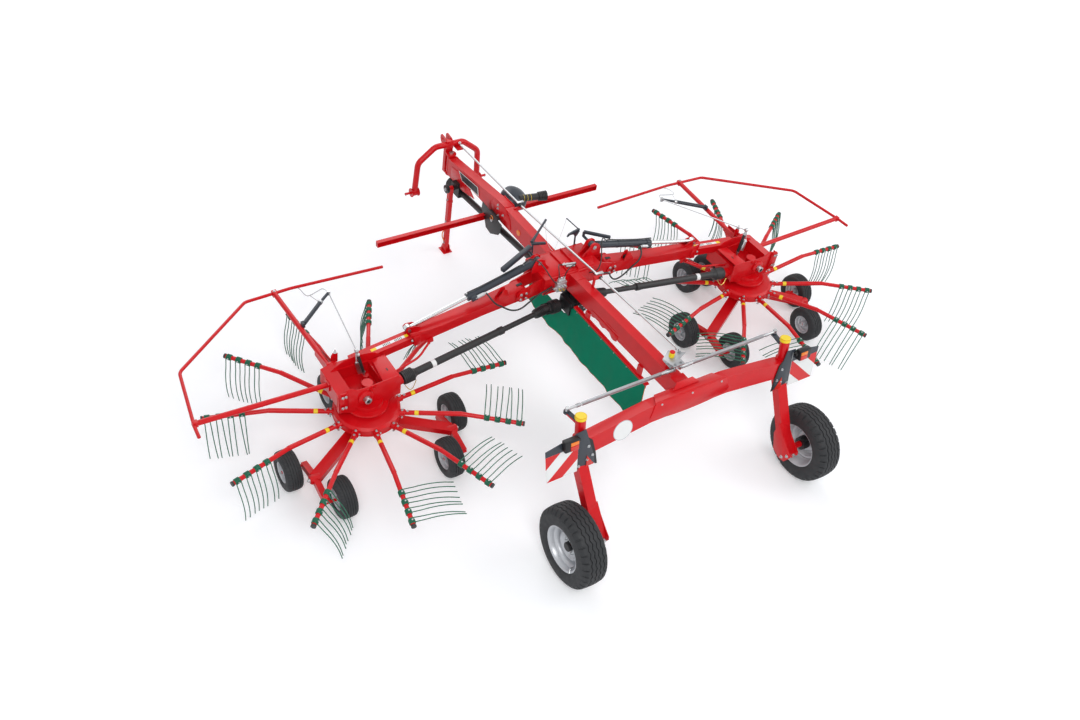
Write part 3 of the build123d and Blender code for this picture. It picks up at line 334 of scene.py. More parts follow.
def arm_axes(side: float) -> tuple[Vector, Vector]:
    """Return the outward and the upward direction of a folding arm."""
    start = along_arm(side, 0, 2.42, 0)
    return along_arm(side, 1, 2.42, 0) - start, along_arm(side, 0, 2.42, 1) - start


def smooth_path(points: Sequence[Vector], pieces: int = 6) -> list[Vector]:
    """Return points read from a smooth spline over the given control points.

    Args:
        points: At least three control points. The spline starts at the first and ends at the last.
        pieces: Number of pieces in each span.

    Returns:
        Points of the spline.
    """
    data = bpy.data.curves.new("route", "CURVE")
    data.dimensions = "3D"
    data.resolution_u = pieces
    line = data.splines.new("NURBS")
    line.points.add(len(points) - 1)
    for control, point in zip(line.points, points):
        control.co = (*point, 1.0)
    line.order_u = 3
    line.use_endpoint_u = True
    carrier = bpy.data.objects.new("route", data)
    mesh = bpy.data.meshes.new_from_object(carrier)
    path = [vert.co.copy() for vert in mesh.vertices]
    bpy.data.objects.remove(carrier)
    bpy.data.curves.remove(data)
    bpy.data.meshes.remove(mesh)
    return path


def frames_along(path: Sequence[Vector]) -> list[Matrix]:
    """Return a frame at each point of a line, its Z along the line and untwisted.

    Args:
        path: Points of the line.

    Returns:
        One matrix for each point.
    """
    frames = []
    normal = (path[1] - path[0]).orthogonal().normalized()
    for index, point in enumerate(path):
        before, after = path[max(index - 1, 0)], path[min(index + 1, len(path) - 1)]
        along = (after - before).normalized()
        normal = (normal - along * normal.dot(along)).normalized()
        turn = Matrix((normal, along.cross(normal), along)).transposed().to_4x4()
        frames.append(Matrix.Translation(point) @ turn)
    return frames


class Shape:
    """A mesh under construction in the row frame, in metres.

    Attributes:
        name: Name the finished object gets.
        body: CAD body it rides on.
        finish: Its finish.
        bm: The mesh.
    """

    def __init__(self, name: str, body: str, finish: Finish) -> None:
        """Start an empty mesh.

        Args:
            name: Name the finished object gets.
            body: CAD body it rides on.
            finish: Its finish.
        """
        self.name = name
        self.body = body
        self.finish = finish
        self.bm = bmesh.new()

    def soften(self, verts: Iterable[bmesh.types.BMVert], width: float) -> None:
        """Bevel every edge between some vertices.

        Args:
            verts: The vertices.
            width: Width of the bevel, or 0 for none.
        """
        if width <= 0:
            return
        edges = {edge for vert in verts for edge in vert.link_edges}
        bmesh.ops.bevel(
            self.bm, geom=list(edges), offset=width, segments=2, profile=0.5, affect="EDGES",
            material=-1,
        )

    def rod(
        self, start: Vector, end: Vector, radius: float, sides: int = 16, tip: float | None = None
    ) -> None:
        """Add a round bar or a cone.

        Args:
            start: Middle of one end.
            end: Middle of the other end.
            radius: Radius at the start.
            sides: Number of sides.
            tip: Radius at the end, if it differs.
        """
        run = end - start
        turn = run.to_track_quat("Z", "Y").to_matrix().to_4x4()
        bmesh.ops.create_cone(
            self.bm, cap_ends=True, segments=sides, radius1=radius,
            radius2=radius if tip is None else tip, depth=run.length,
            matrix=Matrix.Translation(start + run / 2) @ turn,
        )

    def block(
        self, middle: Vector, size: Sequence[float], turn: Matrix | None = None, bevel: float = 0.0
    ) -> None:
        """Add a box.

        Args:
            middle: Its centre.
            size: Its size along its own axes.
            turn: Its orientation.
            bevel: Width of its bevelled edges.
        """
        place = Matrix.Translation(middle) @ (turn.to_4x4() if turn else Matrix.Identity(4))
        made = bmesh.ops.create_cube(self.bm, size=1.0, matrix=place @ Matrix.Diagonal((*size, 1.0)))
        self.soften(made["verts"], bevel)

    def bar(self, start: Vector, end: Vector, width: float, height: float, bevel: float = 0.0) -> None:
        """Add a rectangular bar between two points, its width level.

        Args:
            start: Middle of one end.
            end: Middle of the other end.
            width: Its width.
            height: Its height.
            bevel: Width of its bevelled edges.
        """
        along = (end - start).normalized()
        level = along.cross(UP)
        level = level.normalized() if level.length > 1e-6 else RIGHT
        turn = Matrix((level, along.cross(level) * -1, along)).transposed()
        if turn.determinant() < 0:
            turn = Matrix((level, along.cross(level), along)).transposed()
        self.block((start + end) / 2, (width, height, (end - start).length), turn, bevel)

    def tube(self, path: Sequence[Vector], radius: float, sides: int = 8) -> None:
        """Add a round tube with closed ends along a line.

        Args:
            path: Points of its centreline.
            radius: Its radius.
            sides: Number of sides.
        """
        frames = frames_along(path)
        made = bmesh.ops.create_circle(
            self.bm, cap_ends=False, radius=radius, segments=sides, matrix=frames[0]
        )
        edges = list({edge for vert in made["verts"] for edge in vert.link_edges})
        bmesh.ops.edgeloop_fill(self.bm, edges=edges)
        for before, after in zip(frames, frames[1:]):
            grown = bmesh.ops.extrude_edge_only(self.bm, edges=edges)["geom"]
            verts = [item for item in grown if isinstance(item, bmesh.types.BMVert)]
            edges = [item for item in grown if isinstance(item, bmesh.types.BMEdge)]
            bmesh.ops.transform(self.bm, matrix=after @ before.inverted(), verts=verts)
        bmesh.ops.edgeloop_fill(self.bm, edges=edges)

    def plate(
        self, outline: Sequence[tuple[float, float]], origin: Vector, first: Vector, second: Vector,
        thickness: float, bevel: float = 0.0,
    ) -> None:
        """Add a flat plate with a straight-sided outline.

        Args:
            outline: Corners along the two axes.
            origin: Where the axes start.
            first: The first axis.
            second: The second axis.
            thickness: Thickness along first x second.
            bevel: Width of its bevelled edges.
        """
        verts = [self.bm.verts.new(origin + first * u + second * v) for u, v in outline]
        face = self.bm.faces.new(verts)
        grown = bmesh.ops.extrude_face_region(self.bm, geom=[face])["geom"]
        raised = [item for item in grown if isinstance(item, bmesh.types.BMVert)]
        bmesh.ops.translate(self.bm, verts=raised, vec=first.cross(second).normalized() * thickness)
        self.soften(verts + raised, bevel)

    def lathe(
        self, profile: Sequence[tuple[float, float]], middle: Vector, axis: Vector, steps: int = 48
    ) -> None:
        """Turn a profile about an axis.

        Args:
            profile: Distances along the axis and out from it. It is closed at its ends or onto the axis.
            middle: The point that distances along the axis start at.
            axis: The axis.
            steps: Number of steps round.
        """
        along = axis.normalized()
        out = along.orthogonal().normalized()
        points = list(profile)
        if points[-1][1] == 0 and points[0][1] > 0:
            points.insert(0, (points[0][0], 0.0))
        if points[0][1] == 0 and points[-1][1] > 0:
            points.append((points[-1][0], 0.0))
        verts = [self.bm.verts.new(middle + along * x + out * r) for x, r in points]
        edges = [self.bm.edges.new(pair) for pair in zip(verts, verts[1:])]
        if points[0][1] > 0:
            edges.append(self.bm.edges.new((verts[-1], verts[0])))
        bmesh.ops.spin(
            self.bm, geom=verts + edges, cent=middle, axis=along, angle=math.tau, steps=steps,
            use_merge=True, use_duplicate=False,
        )

    def bolt(self, at: Vector, axis: Vector, size: float) -> None:
        """Add a hexagon bolt head on a washer.

        Args:
            at: Where it meets the surface.
            axis: The direction it points out in.
            size: Width across its corners.
        """
        out = axis.normalized()
        start = at + out * size * 0.12
        self.rod(at, start, size * 0.72, 20)
        self.rod(start, start + out * size * 0.42, size / 2, 6)
        self.rod(start, start + out * size * 0.60, size * 0.26, 10)

    def stamp(self, pattern: bpy.types.Mesh, place: Matrix) -> None:
        """Add a copy of a ready mesh.

        Args:
            pattern: The mesh.
            place: Where the copy goes.
        """
        copy = pattern.copy()
        copy.transform(place)
        self.bm.from_mesh(copy)
        bpy.data.meshes.remove(copy)

    def pattern(self) -> bpy.types.Mesh:
        """Return the mesh so far as a pattern to stamp, and end this shape."""
        mesh = bpy.data.meshes.new(self.name)
        self.bm.to_mesh(mesh)
        self.bm.free()
        return mesh

    def done(self, palette: Palette, sharp: float = 34.0, merge: bool = True) -> bpy.types.Object:
        """Finish the mesh and put it on its body.

        Args:
            palette: The materials.
            sharp: Angle over which edges stay sharp, in degrees.
            merge: Whether doubled vertices are merged.

        Returns:
            The new object.
        """
        if merge:
            bmesh.ops.remove_doubles(self.bm, verts=self.bm.verts, dist=2e-6)
        bmesh.ops.recalc_face_normals(self.bm, faces=self.bm.faces)
        mesh = bpy.data.meshes.new(self.name)
        self.bm.to_mesh(mesh)
        self.bm.free()
        mesh.shade_smooth()
        mesh.set_sharp_from_angle(angle=math.radians(sharp))
        mesh.materials.append(palette.material(self.finish))
        obj = bpy.data.objects.new(self.name, mesh)
        bpy.context.scene.collection.objects.link(obj)
        if self.body:
            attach(obj, self.body)
        LOG.info("%s rides on %s", self.name, self.body or "two bodies")
        return obj


def hose(
    name: str, body: str | tuple[str, str], points: Sequence[Vector], radius: float, palette: Palette,
    turn: tuple[Vector, Vector] | None = None,
) -> None:
    """Args:
        name: Name of the object.
        body: The body it rides on, or a pair of bodies, in which case it is put on neither.
        points: Points it passes, from end to end.
        radius: Its radius.
        palette: The materials.
        turn: Two points where it is meant to start and end turning between the bodies; only whether they
            are given is read, and then its placement is baked into its mesh.
    """
    path = smooth_path(points, 8)
    work = Shape(name, body if isinstance(body, str) else "", PLASTIC)
    work.tube(path, radius, 10)
    obj = work.done(palette, 60.0)
    if turn is not None:
        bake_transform(obj)


@dataclass(frozen=True)
class TreadLine:
    """One line round a tyre.

    Attributes:
        x: Distance across from the tyre's middle.
        r: Radius.
        wave: How far the line waves sideways.
        notch: How deep the shoulder notches cut it.
    """

    x: float
    r: float
    wave: float = 0.0
    notch: float = 0.0


def tread(*rows: tuple[float, ...]) -> tuple[TreadLine, ...]:
    """Return the lines of a tyre from rows of distance across, radius, wave and notch."""
    return tuple(TreadLine(*row) for row in rows)


@dataclass(frozen=True)
class Tyre:
    """A tyre with waved grooves and notched shoulders.

    Attributes:
        lines: Lines across one half, from the bead to the crown.
        pitches: Number of waves and notches round the tyre.
        steps: Place in the pitch, sideways wave and notch of each step.
    """

    lines: tuple[TreadLine, ...]
    pitches: int
    steps: tuple[tuple[float, float, int], ...] = (
        (0.00, -1.0, 0), (0.25, -0.1, 0), (0.40, 0.75, 0), (0.44, 0.9, 1), (0.60, 0.9, 1), (0.64, 0.75, 0),
    )

    def build(self, work: Shape, middle: Vector) -> None:
        """Spin the tyre's section and shape its tread.

        Args:
            work: The mesh it goes into.
            middle: The tyre's centre. Its axis runs along X.
        """
        half = [TreadLine(-line.x, line.r, line.wave, line.notch) for line in self.lines]
        section = half + list(reversed(self.lines[:-1]))
        spun = Shape("section", "", TYRE)
        waves = spun.bm.verts.layers.float.new("wave")
        notches = spun.bm.verts.layers.float.new("notch")
        verts = []
        for line in section:
            vert = spun.bm.verts.new((line.x, 0, line.r))
            vert[waves] = line.wave
            vert[notches] = line.notch
            verts.append(vert)
        edges = [spun.bm.edges.new(pair) for pair in zip(verts, verts[1:] + verts[:1])]
        count = self.pitches * len(self.steps)
        bmesh.ops.spin(
            spun.bm, geom=verts + edges, cent=(0, 0, 0), axis=(1, 0, 0), angle=math.tau, steps=count,
            use_merge=True, use_duplicate=False,
        )
        for vert in spun.bm.verts:
            place = round(math.atan2(vert.co.y, vert.co.z) / math.tau * count) % count
            share, wave, notched = self.steps[place % len(self.steps)]
            angle = math.tau * (place // len(self.steps) + share) / self.pitches
            radius = math.hypot(vert.co.y, vert.co.z) - vert[notches] * notched
            vert.co = (vert.co.x + vert[waves] * wave, radius * math.sin(angle), radius * math.cos(angle))
        work.stamp(spun.pattern(), Matrix.Translation(middle))


ROAD_TYRE = Tyre(
    lines=tread(
        (0.100, 0.2065), (0.112, 0.212), (0.122, 0.226), (0.129, 0.248), (0.1315, 0.275), (0.1305, 0.300),
        (0.1265, 0.324), (0.1262, 0.326), (0.1240, 0.331, 0.0, 0.007), (0.1160, 0.348, 0.0, 0.013),
        (0.1060, 0.362, 0.0, 0.014), (0.0960, 0.3705, 0.0, 0.013), (0.0820, 0.3735, 0.003),
        (0.0660, 0.3755, 0.0062), (0.0645, 0.3670, 0.0062), (0.0575, 0.3675, 0.0062),
        (0.0560, 0.3768, 0.0062), (0.0400, 0.3782, 0.0062), (0.0245, 0.3790, 0.0062),
        (0.0230, 0.3700, 0.0062), (0.0165, 0.3700, 0.0062), (0.0150, 0.3795, 0.0062), (0.0, 0.3798, 0.0062),
    ),
    pitches=32,
)
ROTOR_TYRE = Tyre(
    lines=tread(
        (0.060, 0.0985), (0.070, 0.104), (0.077, 0.118), (0.0798, 0.136), (0.0790, 0.154), (0.0745, 0.170),
        (0.0700, 0.179), (0.0620, 0.1865, 0.0, 0.002), (0.0520, 0.1905, 0.0, 0.002), (0.0380, 0.1925),
        (0.0370, 0.1865), (0.0325, 0.1865), (0.0315, 0.1932), (0.0150, 0.1942), (0.0140, 0.1880),
        (0.0095, 0.1880), (0.0085, 0.1948), (0.0, 0.1949),
    ),
    pitches=36,
)
ROAD_RIM = (
    (0.104, 0.206), (0.112, 0.2185), (0.1165, 0.2185), (0.1165, 0.214), (0.110, 0.204), (0.104, 0.199),
    (0.066, 0.193), (0.058, 0.180), (0.040, 0.170), (-0.012, 0.170), (-0.034, 0.186), (-0.100, 0.199),
    (-0.108, 0.206), (-0.1165, 0.214), (-0.1165, 0.2185), (-0.112, 0.2185), (-0.104, 0.206),
)
ROAD_DISC = (
    (0.006, 0.1705), (0.010, 0.160), (0.026, 0.146), (0.044, 0.132), (0.046, 0.118), (0.030, 0.100),
    (0.026, 0.092), (0.026, 0.048), (0.018, 0.048), (0.018, 0.096), (0.036, 0.120), (0.036, 0.128),
    (0.018, 0.140), (0.002, 0.154), (-0.002, 0.1705),
)
ROAD_HUB = (
    (-0.062, 0.0), (-0.062, 0.062), (-0.020, 0.066), (0.010, 0.066), (0.018, 0.046), (0.060, 0.044),
    (0.066, 0.038), (0.068, 0.0),
)
SMALL_RIM = (
    (0.058, 0.0975), (0.063, 0.1045), (0.066, 0.1045), (0.066, 0.101), (0.060, 0.094), (0.034, 0.088),
    (0.026, 0.076), (-0.026, 0.076), (-0.034, 0.088), (-0.060, 0.094), (-0.066, 0.101), (-0.066, 0.1045),
    (-0.063, 0.1045), (-0.058, 0.0975),
)
SMALL_DISC = (
    (0.060, 0.0), (0.060, 0.020), (0.056, 0.026), (0.014, 0.028), (0.011, 0.036), (0.011, 0.064),
    (0.005, 0.077), (-0.005, 0.077), (-0.001, 0.064), (-0.001, 0.034), (-0.056, 0.026), (-0.060, 0.020),
    (-0.060, 0.0),
)


@dataclass
class Wheels:
    """All wheels with their tyres, rims and hubs.

    Attributes:
        palette: The materials.
        road_x: Distance of the transport wheels from the middle.
        road_radius: Radius of the transport tyres.
        small_radius: Radius of the wheels under the rotors.
        small: Name, distance from the middle, station and shifts of those wheels.
    """

    palette: Palette
    road_x: float = 1.370
    road_radius: float = 0.380
    small_radius: float = 0.195
    small: tuple[tuple[str, float, float, tuple[float, ...]], ...] = (
        ("inner_front", 1.448, 1.969, (0.0,)), ("inner_rear", 1.748, 1.475, (0.0,)),
        ("outer_front", 3.127, 1.969, (0.0,)), ("outer_rear", 2.827, 1.475, (0.0,)),
        ("twin", 2.222, 2.712, (-0.15, 0.15)),
    )

    def build(self) -> None:
        """Build every wheel."""
        for name, side in SIDES.items():
            self._road_wheel(name, side)
            for place, x, y, shifts in self.small:
                middles = [spot(side, x + shift, y, self.small_radius) for shift in shifts]
                self._small_wheel(place, name, side, middles)

    def _road_wheel(self, name: str, side: float) -> None:
        """Build one transport wheel.

        Args:
            name: "left" or "right".
            side: -1 for the left, 1 for the right.
        """
        body = f"transport_wheel_{name}"
        middle = spot(side, self.road_x, 0.0, self.road_radius)
        axis = Vector((side, 0, 0))
        tyre = Shape(f"road_tyre_{name}", body, TYRE)
        ROAD_TYRE.build(tyre, middle)
        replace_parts(tyre.done(self.palette, 40.0), f"transport_tyre_{name}")
        rim = Shape(f"road_rim_{name}", body, RIM_SILVER)
        rim.lathe(ROAD_RIM, middle, axis, 64)
        rim.lathe(ROAD_DISC, middle, axis, 64)
        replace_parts(rim.done(self.palette), f"transport_rim_{name}")
        nuts = Shape(f"road_nuts_{name}", body, LIGHT_STEEL)
        for index in range(5):
            turn = math.tau * (index + 0.25) / 5
            nuts.bolt(
                middle + axis * 0.026 + Vector((0, math.cos(turn), math.sin(turn))) * 0.070, axis, 0.026
            )
        valve = Vector((0, -0.76, -0.65)) * 0.180
        nuts.rod(middle + axis * 0.050 + valve, middle + axis * 0.100 + valve * 1.02, 0.008, 12)
        nuts.rod(middle + axis * 0.096 + valve * 1.02, middle + axis * 0.122 + valve * 1.20, 0.0095, 12)
        nuts.done(self.palette)
        hub = Shape(f"road_hub_{name}", body, BLACK)
        hub.lathe(ROAD_HUB, middle, axis, 40)
        hub.done(self.palette)

    def _small_wheel(self, place: str, name: str, side: float, middles: Sequence[Vector]) -> None:
        """Build the wheel, or the pair of wheels, at one place under a rotor.

        Args:
            place: Name of the place.
            name: "left" or "right".
            side: -1 for the left, 1 for the right.
            middles: Centre of each wheel there.
        """
        body = f"wheel_{place}_{name}"
        tyre = Shape(f"tyre_{place}_{name}", body, TYRE)
        rim = Shape(f"rim_{place}_{name}", body, RIM_SILVER)
        axis = Vector((side, 0, 0))
        for middle in middles:
            ROTOR_TYRE.build(tyre, middle)
            rim.lathe(SMALL_RIM, middle, axis, 40)
            rim.lathe(SMALL_DISC, middle, axis, 40)
            for index in range(4):
                turn = math.tau * (index + 0.5) / 4
                rim.bolt(
                    middle + axis * 0.011 + Vector((0, math.cos(turn), math.sin(turn))) * 0.052, axis, 0.017
                )
        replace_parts(tyre.done(self.palette, 40.0), body)
        rim.done(self.palette)


@dataclass
class Rotor:
    """The tines, the arm fittings and the hub fittings of one rotor.

    Attributes:
        name: "left" or "right".
        palette: The materials.
        middle_x: Distance of the rotor's axis from the middle.
        middle_y: Its station.
        count: Number of tine arms.
        root: Radius and height at which an arm leaves the hub.
        kink: Radius and height of its bend.
        tip: Radius and height of its end.
        first_tine: Radius of the first pair of tines.
        pitch: Distance between pairs.
        spacing: Distance between the two tines of a pair.
        wire: Radius of the tine wire.
        arm_radius: Radius of the tine arms.
    """

    name: str
    palette: Palette
    middle_x: float = 2.305
    middle_y: float = 2.090
    count: int = 11
    root: tuple[float, float] = (0.296, 0.512)
    kink: tuple[float, float] = (0.870, 0.594)
    tip: tuple[float, float] = (1.454, 0.562)
    first_tine: float = 1.105
    pitch: float = 0.100
    spacing: float = 0.046
    wire: float = 0.0046
    arm_radius: float = 0.021

    @staticmethod
    def roll_at(angle: float) -> float:
        """Return how far the tines are turned up at an arm's angle, in degrees."""
        angle %= 360.0
        if angle < 45:
            return 88 - 78 * angle / 45
        if angle <= 215:
            return 10
        if angle < 260:
            return 10 + 78 * (angle - 215) / 45
        return 88

    def _tine_pattern(self, hand: int) -> bpy.types.Mesh:
        """Build one tine with its coil: X along the arm, Y back and Z down."""
        work = Shape("tine", "", GREEN_STEEL)
        along, back, down = RIGHT, AHEAD, UP
        reach = self.arm_radius + self.wire + 0.0006
        lower = down * math.cos(math.radians(16)) - back * math.sin(math.radians(16))
        start = back * reach
        knee = start + down * 0.285 + back * 0.008
        end = knee + lower * 0.120
        path = [start, start + down * 0.10]
        for step in range(7):
            t = step / 6
            path.append(
                (start + down * 0.17 + back * 0.005) * (1 - t) ** 2 + knee * (2 * t * (1 - t)) + end * t * t
            )
        path.append(knee + lower * 0.205 - back * 0.004)
        work.tube(path, self.wire, 6)
        turns = 2.6
        coil = []
        for step in range(33):
            angle = math.tau * turns * step / 32
            shift = hand * self.wire * 2.1 * turns * step / 32
            coil.append(along * shift + (back * math.cos(angle) - down * math.sin(angle)) * reach)
        work.tube(coil, self.wire, 6)
        return work.pattern()

    def build(self) -> None:
        """Build everything that turns with the rotor."""
        body = f"rotor_{self.name}"
        side = SIDES[self.name]
        tines = Shape(f"tines_{self.name}", body, GREEN_STEEL)
        plugs = Shape(f"arm_plugs_{self.name}", body, PLASTIC)
        bands = Shape(f"arm_bands_{self.name}", body, YELLOW)
        bolts = Shape(f"hub_bolts_{self.name}", body, LIGHT_STEEL)
        sockets = Shape(f"hub_sockets_{self.name}", body, RED)
        patterns = {hand: self._tine_pattern(hand) for hand in (-1, 1)}
        rng = random.Random(11 if side < 0 else 12)
        middle = spot(side, self.middle_x, self.middle_y, 0.0)
        first = 63.3 if side < 0 else 180.0 - 98.2
        drop = math.atan2(self.kink[1] - self.tip[1], self.tip[0] - self.kink[0])
        for index in range(self.count):
            angle = first + 360.0 / self.count * index
            turn = math.radians(angle)
            roll = math.radians(self.roll_at(angle))
            out = Vector((-side * math.cos(turn), math.sin(turn), 0))
            trail = Vector((side * math.sin(turn), math.cos(turn), 0))
            along = out * math.cos(drop) - Vector((0, 0, math.sin(drop)))
            under = -out * math.sin(drop) - Vector((0, 0, math.cos(drop)))
            down = trail * math.sin(roll) + under * math.cos(roll)
            back = trail * math.cos(roll) - under * math.sin(roll)
            root, kink, tip = (
                middle + out * reach + Vector((0, 0, height)) for reach, height in (
                    self.root, self.kink, self.tip
                )
            )
            for pair in range(4):
                distance = (self.first_tine + self.pitch * pair - self.kink[0]) / math.cos(drop)
                for hand in (-1, 1):
                    seat = kink + along * (distance + hand * self.spacing / 2)
                    sway = Matrix.Rotation(rng.uniform(-0.03, 0.03), 4, "Y") @ Matrix.Rotation(
                        rng.uniform(-0.02, 0.02), 4, "X"
                    )
                    turned = Matrix((along, back, down)).transposed().to_4x4()
                    tines.stamp(patterns[-hand], Matrix.Translation(seat) @ turned @ sway)
                clamp = kink + along * distance
                plugs.rod(clamp - along * 0.013, clamp + along * 0.013, 0.0262, 14)
                bolts.rod(clamp + back * 0.024, clamp + back * 0.036, 0.0075, 6)
            plugs.rod(tip - along * 0.012, tip + along * 0.006, 0.0240, 20)
            spoke = (kink - root).normalized()
            bands.rod(root + spoke * 0.150, root + spoke * 0.188, 0.0238, 24)
            sockets.rod(root + spoke * 0.010, root + spoke * 0.058, 0.0335, 20)
            up = trail.cross(spoke).normalized()
            up = up if up.z > 0 else -up
            bolts.bolt(root + spoke * 0.036 + up * 0.033, up, 0.019)
            bolts.bolt(root + spoke * 0.084 + up * 0.0225, up, 0.017)
            bolts.bolt(root + spoke * 0.036 + trail * 0.033, trail, 0.017)
            bolts.bolt(root + spoke * 0.020 - up * 0.060, out, 0.019)
        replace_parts(tines.done(self.palette, 60.0, merge=False), f"rotor_tines_{self.name}")
        for shape in (plugs, bands, bolts, sockets):
            shape.done(self.palette)
        self._hub_rim(body, middle)

    def _hub_rim(self, body: str, middle: Vector) -> None:
        """Build the weld seams and the skirt lip of the hub cover."""
        work = Shape(f"hub_rim_{self.name}", body, RED)
        work.lathe(
            ((0.474, 0.3095), (0.470, 0.3135), (0.478, 0.3155), (0.484, 0.3135), (0.484, 0.3095)),
            middle, UP, 72,
        )
        work.lathe(
            ((0.5725, 0.172), (0.576, 0.170), (0.580, 0.160), (0.580, 0.056), (0.572, 0.056)), middle,
            UP, 48,
        )
        work.done(self.palette)


@dataclass
class RotorHead:
    """The housing over one rotor, with its plates, spindle and turnbuckle.

    Attributes:
        name: "left" or "right".
        palette: The materials.
        rear: Station of the housing's rear face.
    """

    name: str
    palette: Palette
    rear: float = 2.030

    def build(self) -> None:
        """Build the housing's pieces."""
        self.side = SIDES[self.name]
        self.body = f"rotor_carrier_{self.name}"
        self._plates()
        self._fasteners()
        self._turnbuckle()
        self._shaft_strut()
        self._scale_strip()
        self._wheel_frame()

    def _plates(self) -> None:
        """Build the housing's plates, rings and lid."""
        side = self.side
        work = Shape(f"head_plates_{self.name}", self.body, RED)
        rear_outline = (
            (2.000, 0.648), (2.000, 0.862), (2.040, 0.884), (2.180, 0.874), (2.330, 0.862), (2.430, 0.866),
            (2.480, 0.900), (2.520, 0.912), (2.560, 0.890), (2.600, 0.800), (2.600, 0.700), (2.560, 0.640),
            (2.490, 0.606), (2.120, 0.606), (2.060, 0.640),
        )
        across, up = Vector((side, 0, 0)), UP
        work.plate(rear_outline, spot(side, 0, self.rear - 0.012, 0), across, up, -0.012 * side, 0.002)
        front_outline = (
            (2.030, 0.680), (2.030, 0.860), (2.110, 0.915), (2.250, 0.940), (2.400, 0.925), (2.500, 0.870),
            (2.560, 0.820), (2.560, 0.690),
        )
        work.plate(front_outline, spot(side, 0, 2.360, 0), across, up, -0.010 * side, 0.002)
        middle = spot(side, 2.305, 2.090, 0)
        work.lathe(
            ((0.592, 0.140), (0.590, 0.196), (0.600, 0.200), (0.612, 0.196), (0.618, 0.150)), middle, up, 56
        )
        work.lathe(
            ((0.612, 0.150), (0.640, 0.148), (0.662, 0.146), (0.662, 0.120), (0.612, 0.120)), middle, up, 56
        )
        lid = ((0.0, 0.0), (0.165, 0.0), (0.135, 0.300), (0.0, 0.300))
        tilt = Vector((side * 0.995, 0, -0.10))
        work.plate(lid, spot(side, 2.012, self.rear + 0.002, 0.872), tilt, AHEAD, 0.006 * side, 0.001)
        bracket = (
            (-0.045, 0.0), (0.045, 0.0), (0.045, 0.200), (0.030, 0.230), (-0.030, 0.230), (-0.045, 0.200)
        )
        work.plate(bracket, spot(side, 2.575, self.rear - 0.028, 0.665), across, up, -0.014 * side, 0.002)
        for x in (2.532, 2.618):
            work.block(spot(side, x, self.rear + 0.005, 0.770), (0.008, 0.066, 0.200), None, 0.001)
        work.block(spot(side, 2.480, 2.470, 0.775), (0.100, 0.030, 0.130), None, 0.004)
        for shift in (-0.034, 0.034):
            work.plate(
                ((0.0, -0.045), (0.26, -0.026), (0.26, 0.026), (0.0, 0.060)),
                spot(side, 2.484 + shift, 2.470, 0.752), Vector((side * 0.049, 0.999, 0.009)), up,
                0.006,
            )
        work.plate(
            (
                (2.404, 0.800), (2.404, 0.900), (2.424, 0.925), (2.444, 0.925), (2.470, 0.880),
                (2.470, 0.800),
            ),
            spot(side, 0, 2.500, 0), across, up, -0.010 * side, 0.001,
        )
        work.rod(spot(side, 2.245, 2.250, 0.716), spot(side, 2.245, 2.250, 0.780), 0.030, 24)
        work.done(self.palette)
        # A thin black sheet on the lid stands for its slot: painted shade in the opening.
        shade = Shape(f"head_slot_shade_{self.name}", self.body, BLACK)
        shade.block(spot(side, 2.080, self.rear + 0.120, 0.8713), (0.012, 0.034, 0.003))
        shade.done(self.palette)

    def _fasteners(self) -> None:
        """Build the bolts, the spindle's end and the red caps."""
        side = self.side
        work = Shape(f"head_bolts_{self.name}", self.body, LIGHT_STEEL)
        for x, z in ((2.590, 0.735), (2.560, 0.735), (2.590, 0.865), (2.560, 0.865)):
            work.bolt(spot(side, x, self.rear - 0.042, z), REARWARD, 0.020)
        work.bolt(spot(side, 2.434, 2.495, 0.926), UP, 0.028)
        work.rod(spot(side, 2.434, 2.495, 0.926), spot(side, 2.434, 2.495, 0.962), 0.007, 10)
        for x in (2.450, 2.514):
            work.bolt(spot(side, x, 2.4866, 0.815), AHEAD, 0.020)
        work.lathe(
            ((0.0, 0.020), (0.0, 0.034), (0.058, 0.034), (0.060, 0.030), (0.060, 0.020), (0.004, 0.019)),
            spot(side, 2.357, self.rear - 0.024, 0.759), REARWARD, 32,
        )
        work.rod(
            spot(side, 2.357, self.rear - 0.060, 0.724), spot(side, 2.372, self.rear - 0.060, 0.716),
            0.010, 10,
        )
        work.done(self.palette)
        red = Shape(f"head_red_bolts_{self.name}", self.body, RED)
        for x, z in ((2.300, 0.835), (2.262, 0.850)):
            red.bolt(spot(side, x, self.rear - 0.012, z), REARWARD, 0.030)
        red.lathe(
            ((0.0, 0.075), (0.020, 0.072), (0.030, 0.050), (0.030, 0.036), (0.0, 0.036)),
            spot(side, 2.357, self.rear - 0.012, 0.759), REARWARD, 40,
        )
        red.done(self.palette)
        # A black disc across the hollow spindle end: painted shade in the bore.
        dark = Shape(f"spindle_bore_shade_{self.name}", self.body, BLACK)
        dark.rod(
            spot(side, 2.357, self.rear - 0.018, 0.759), spot(side, 2.357, self.rear - 0.030, 0.759),
            0.0205, 24,
        )
        dark.done(self.palette)

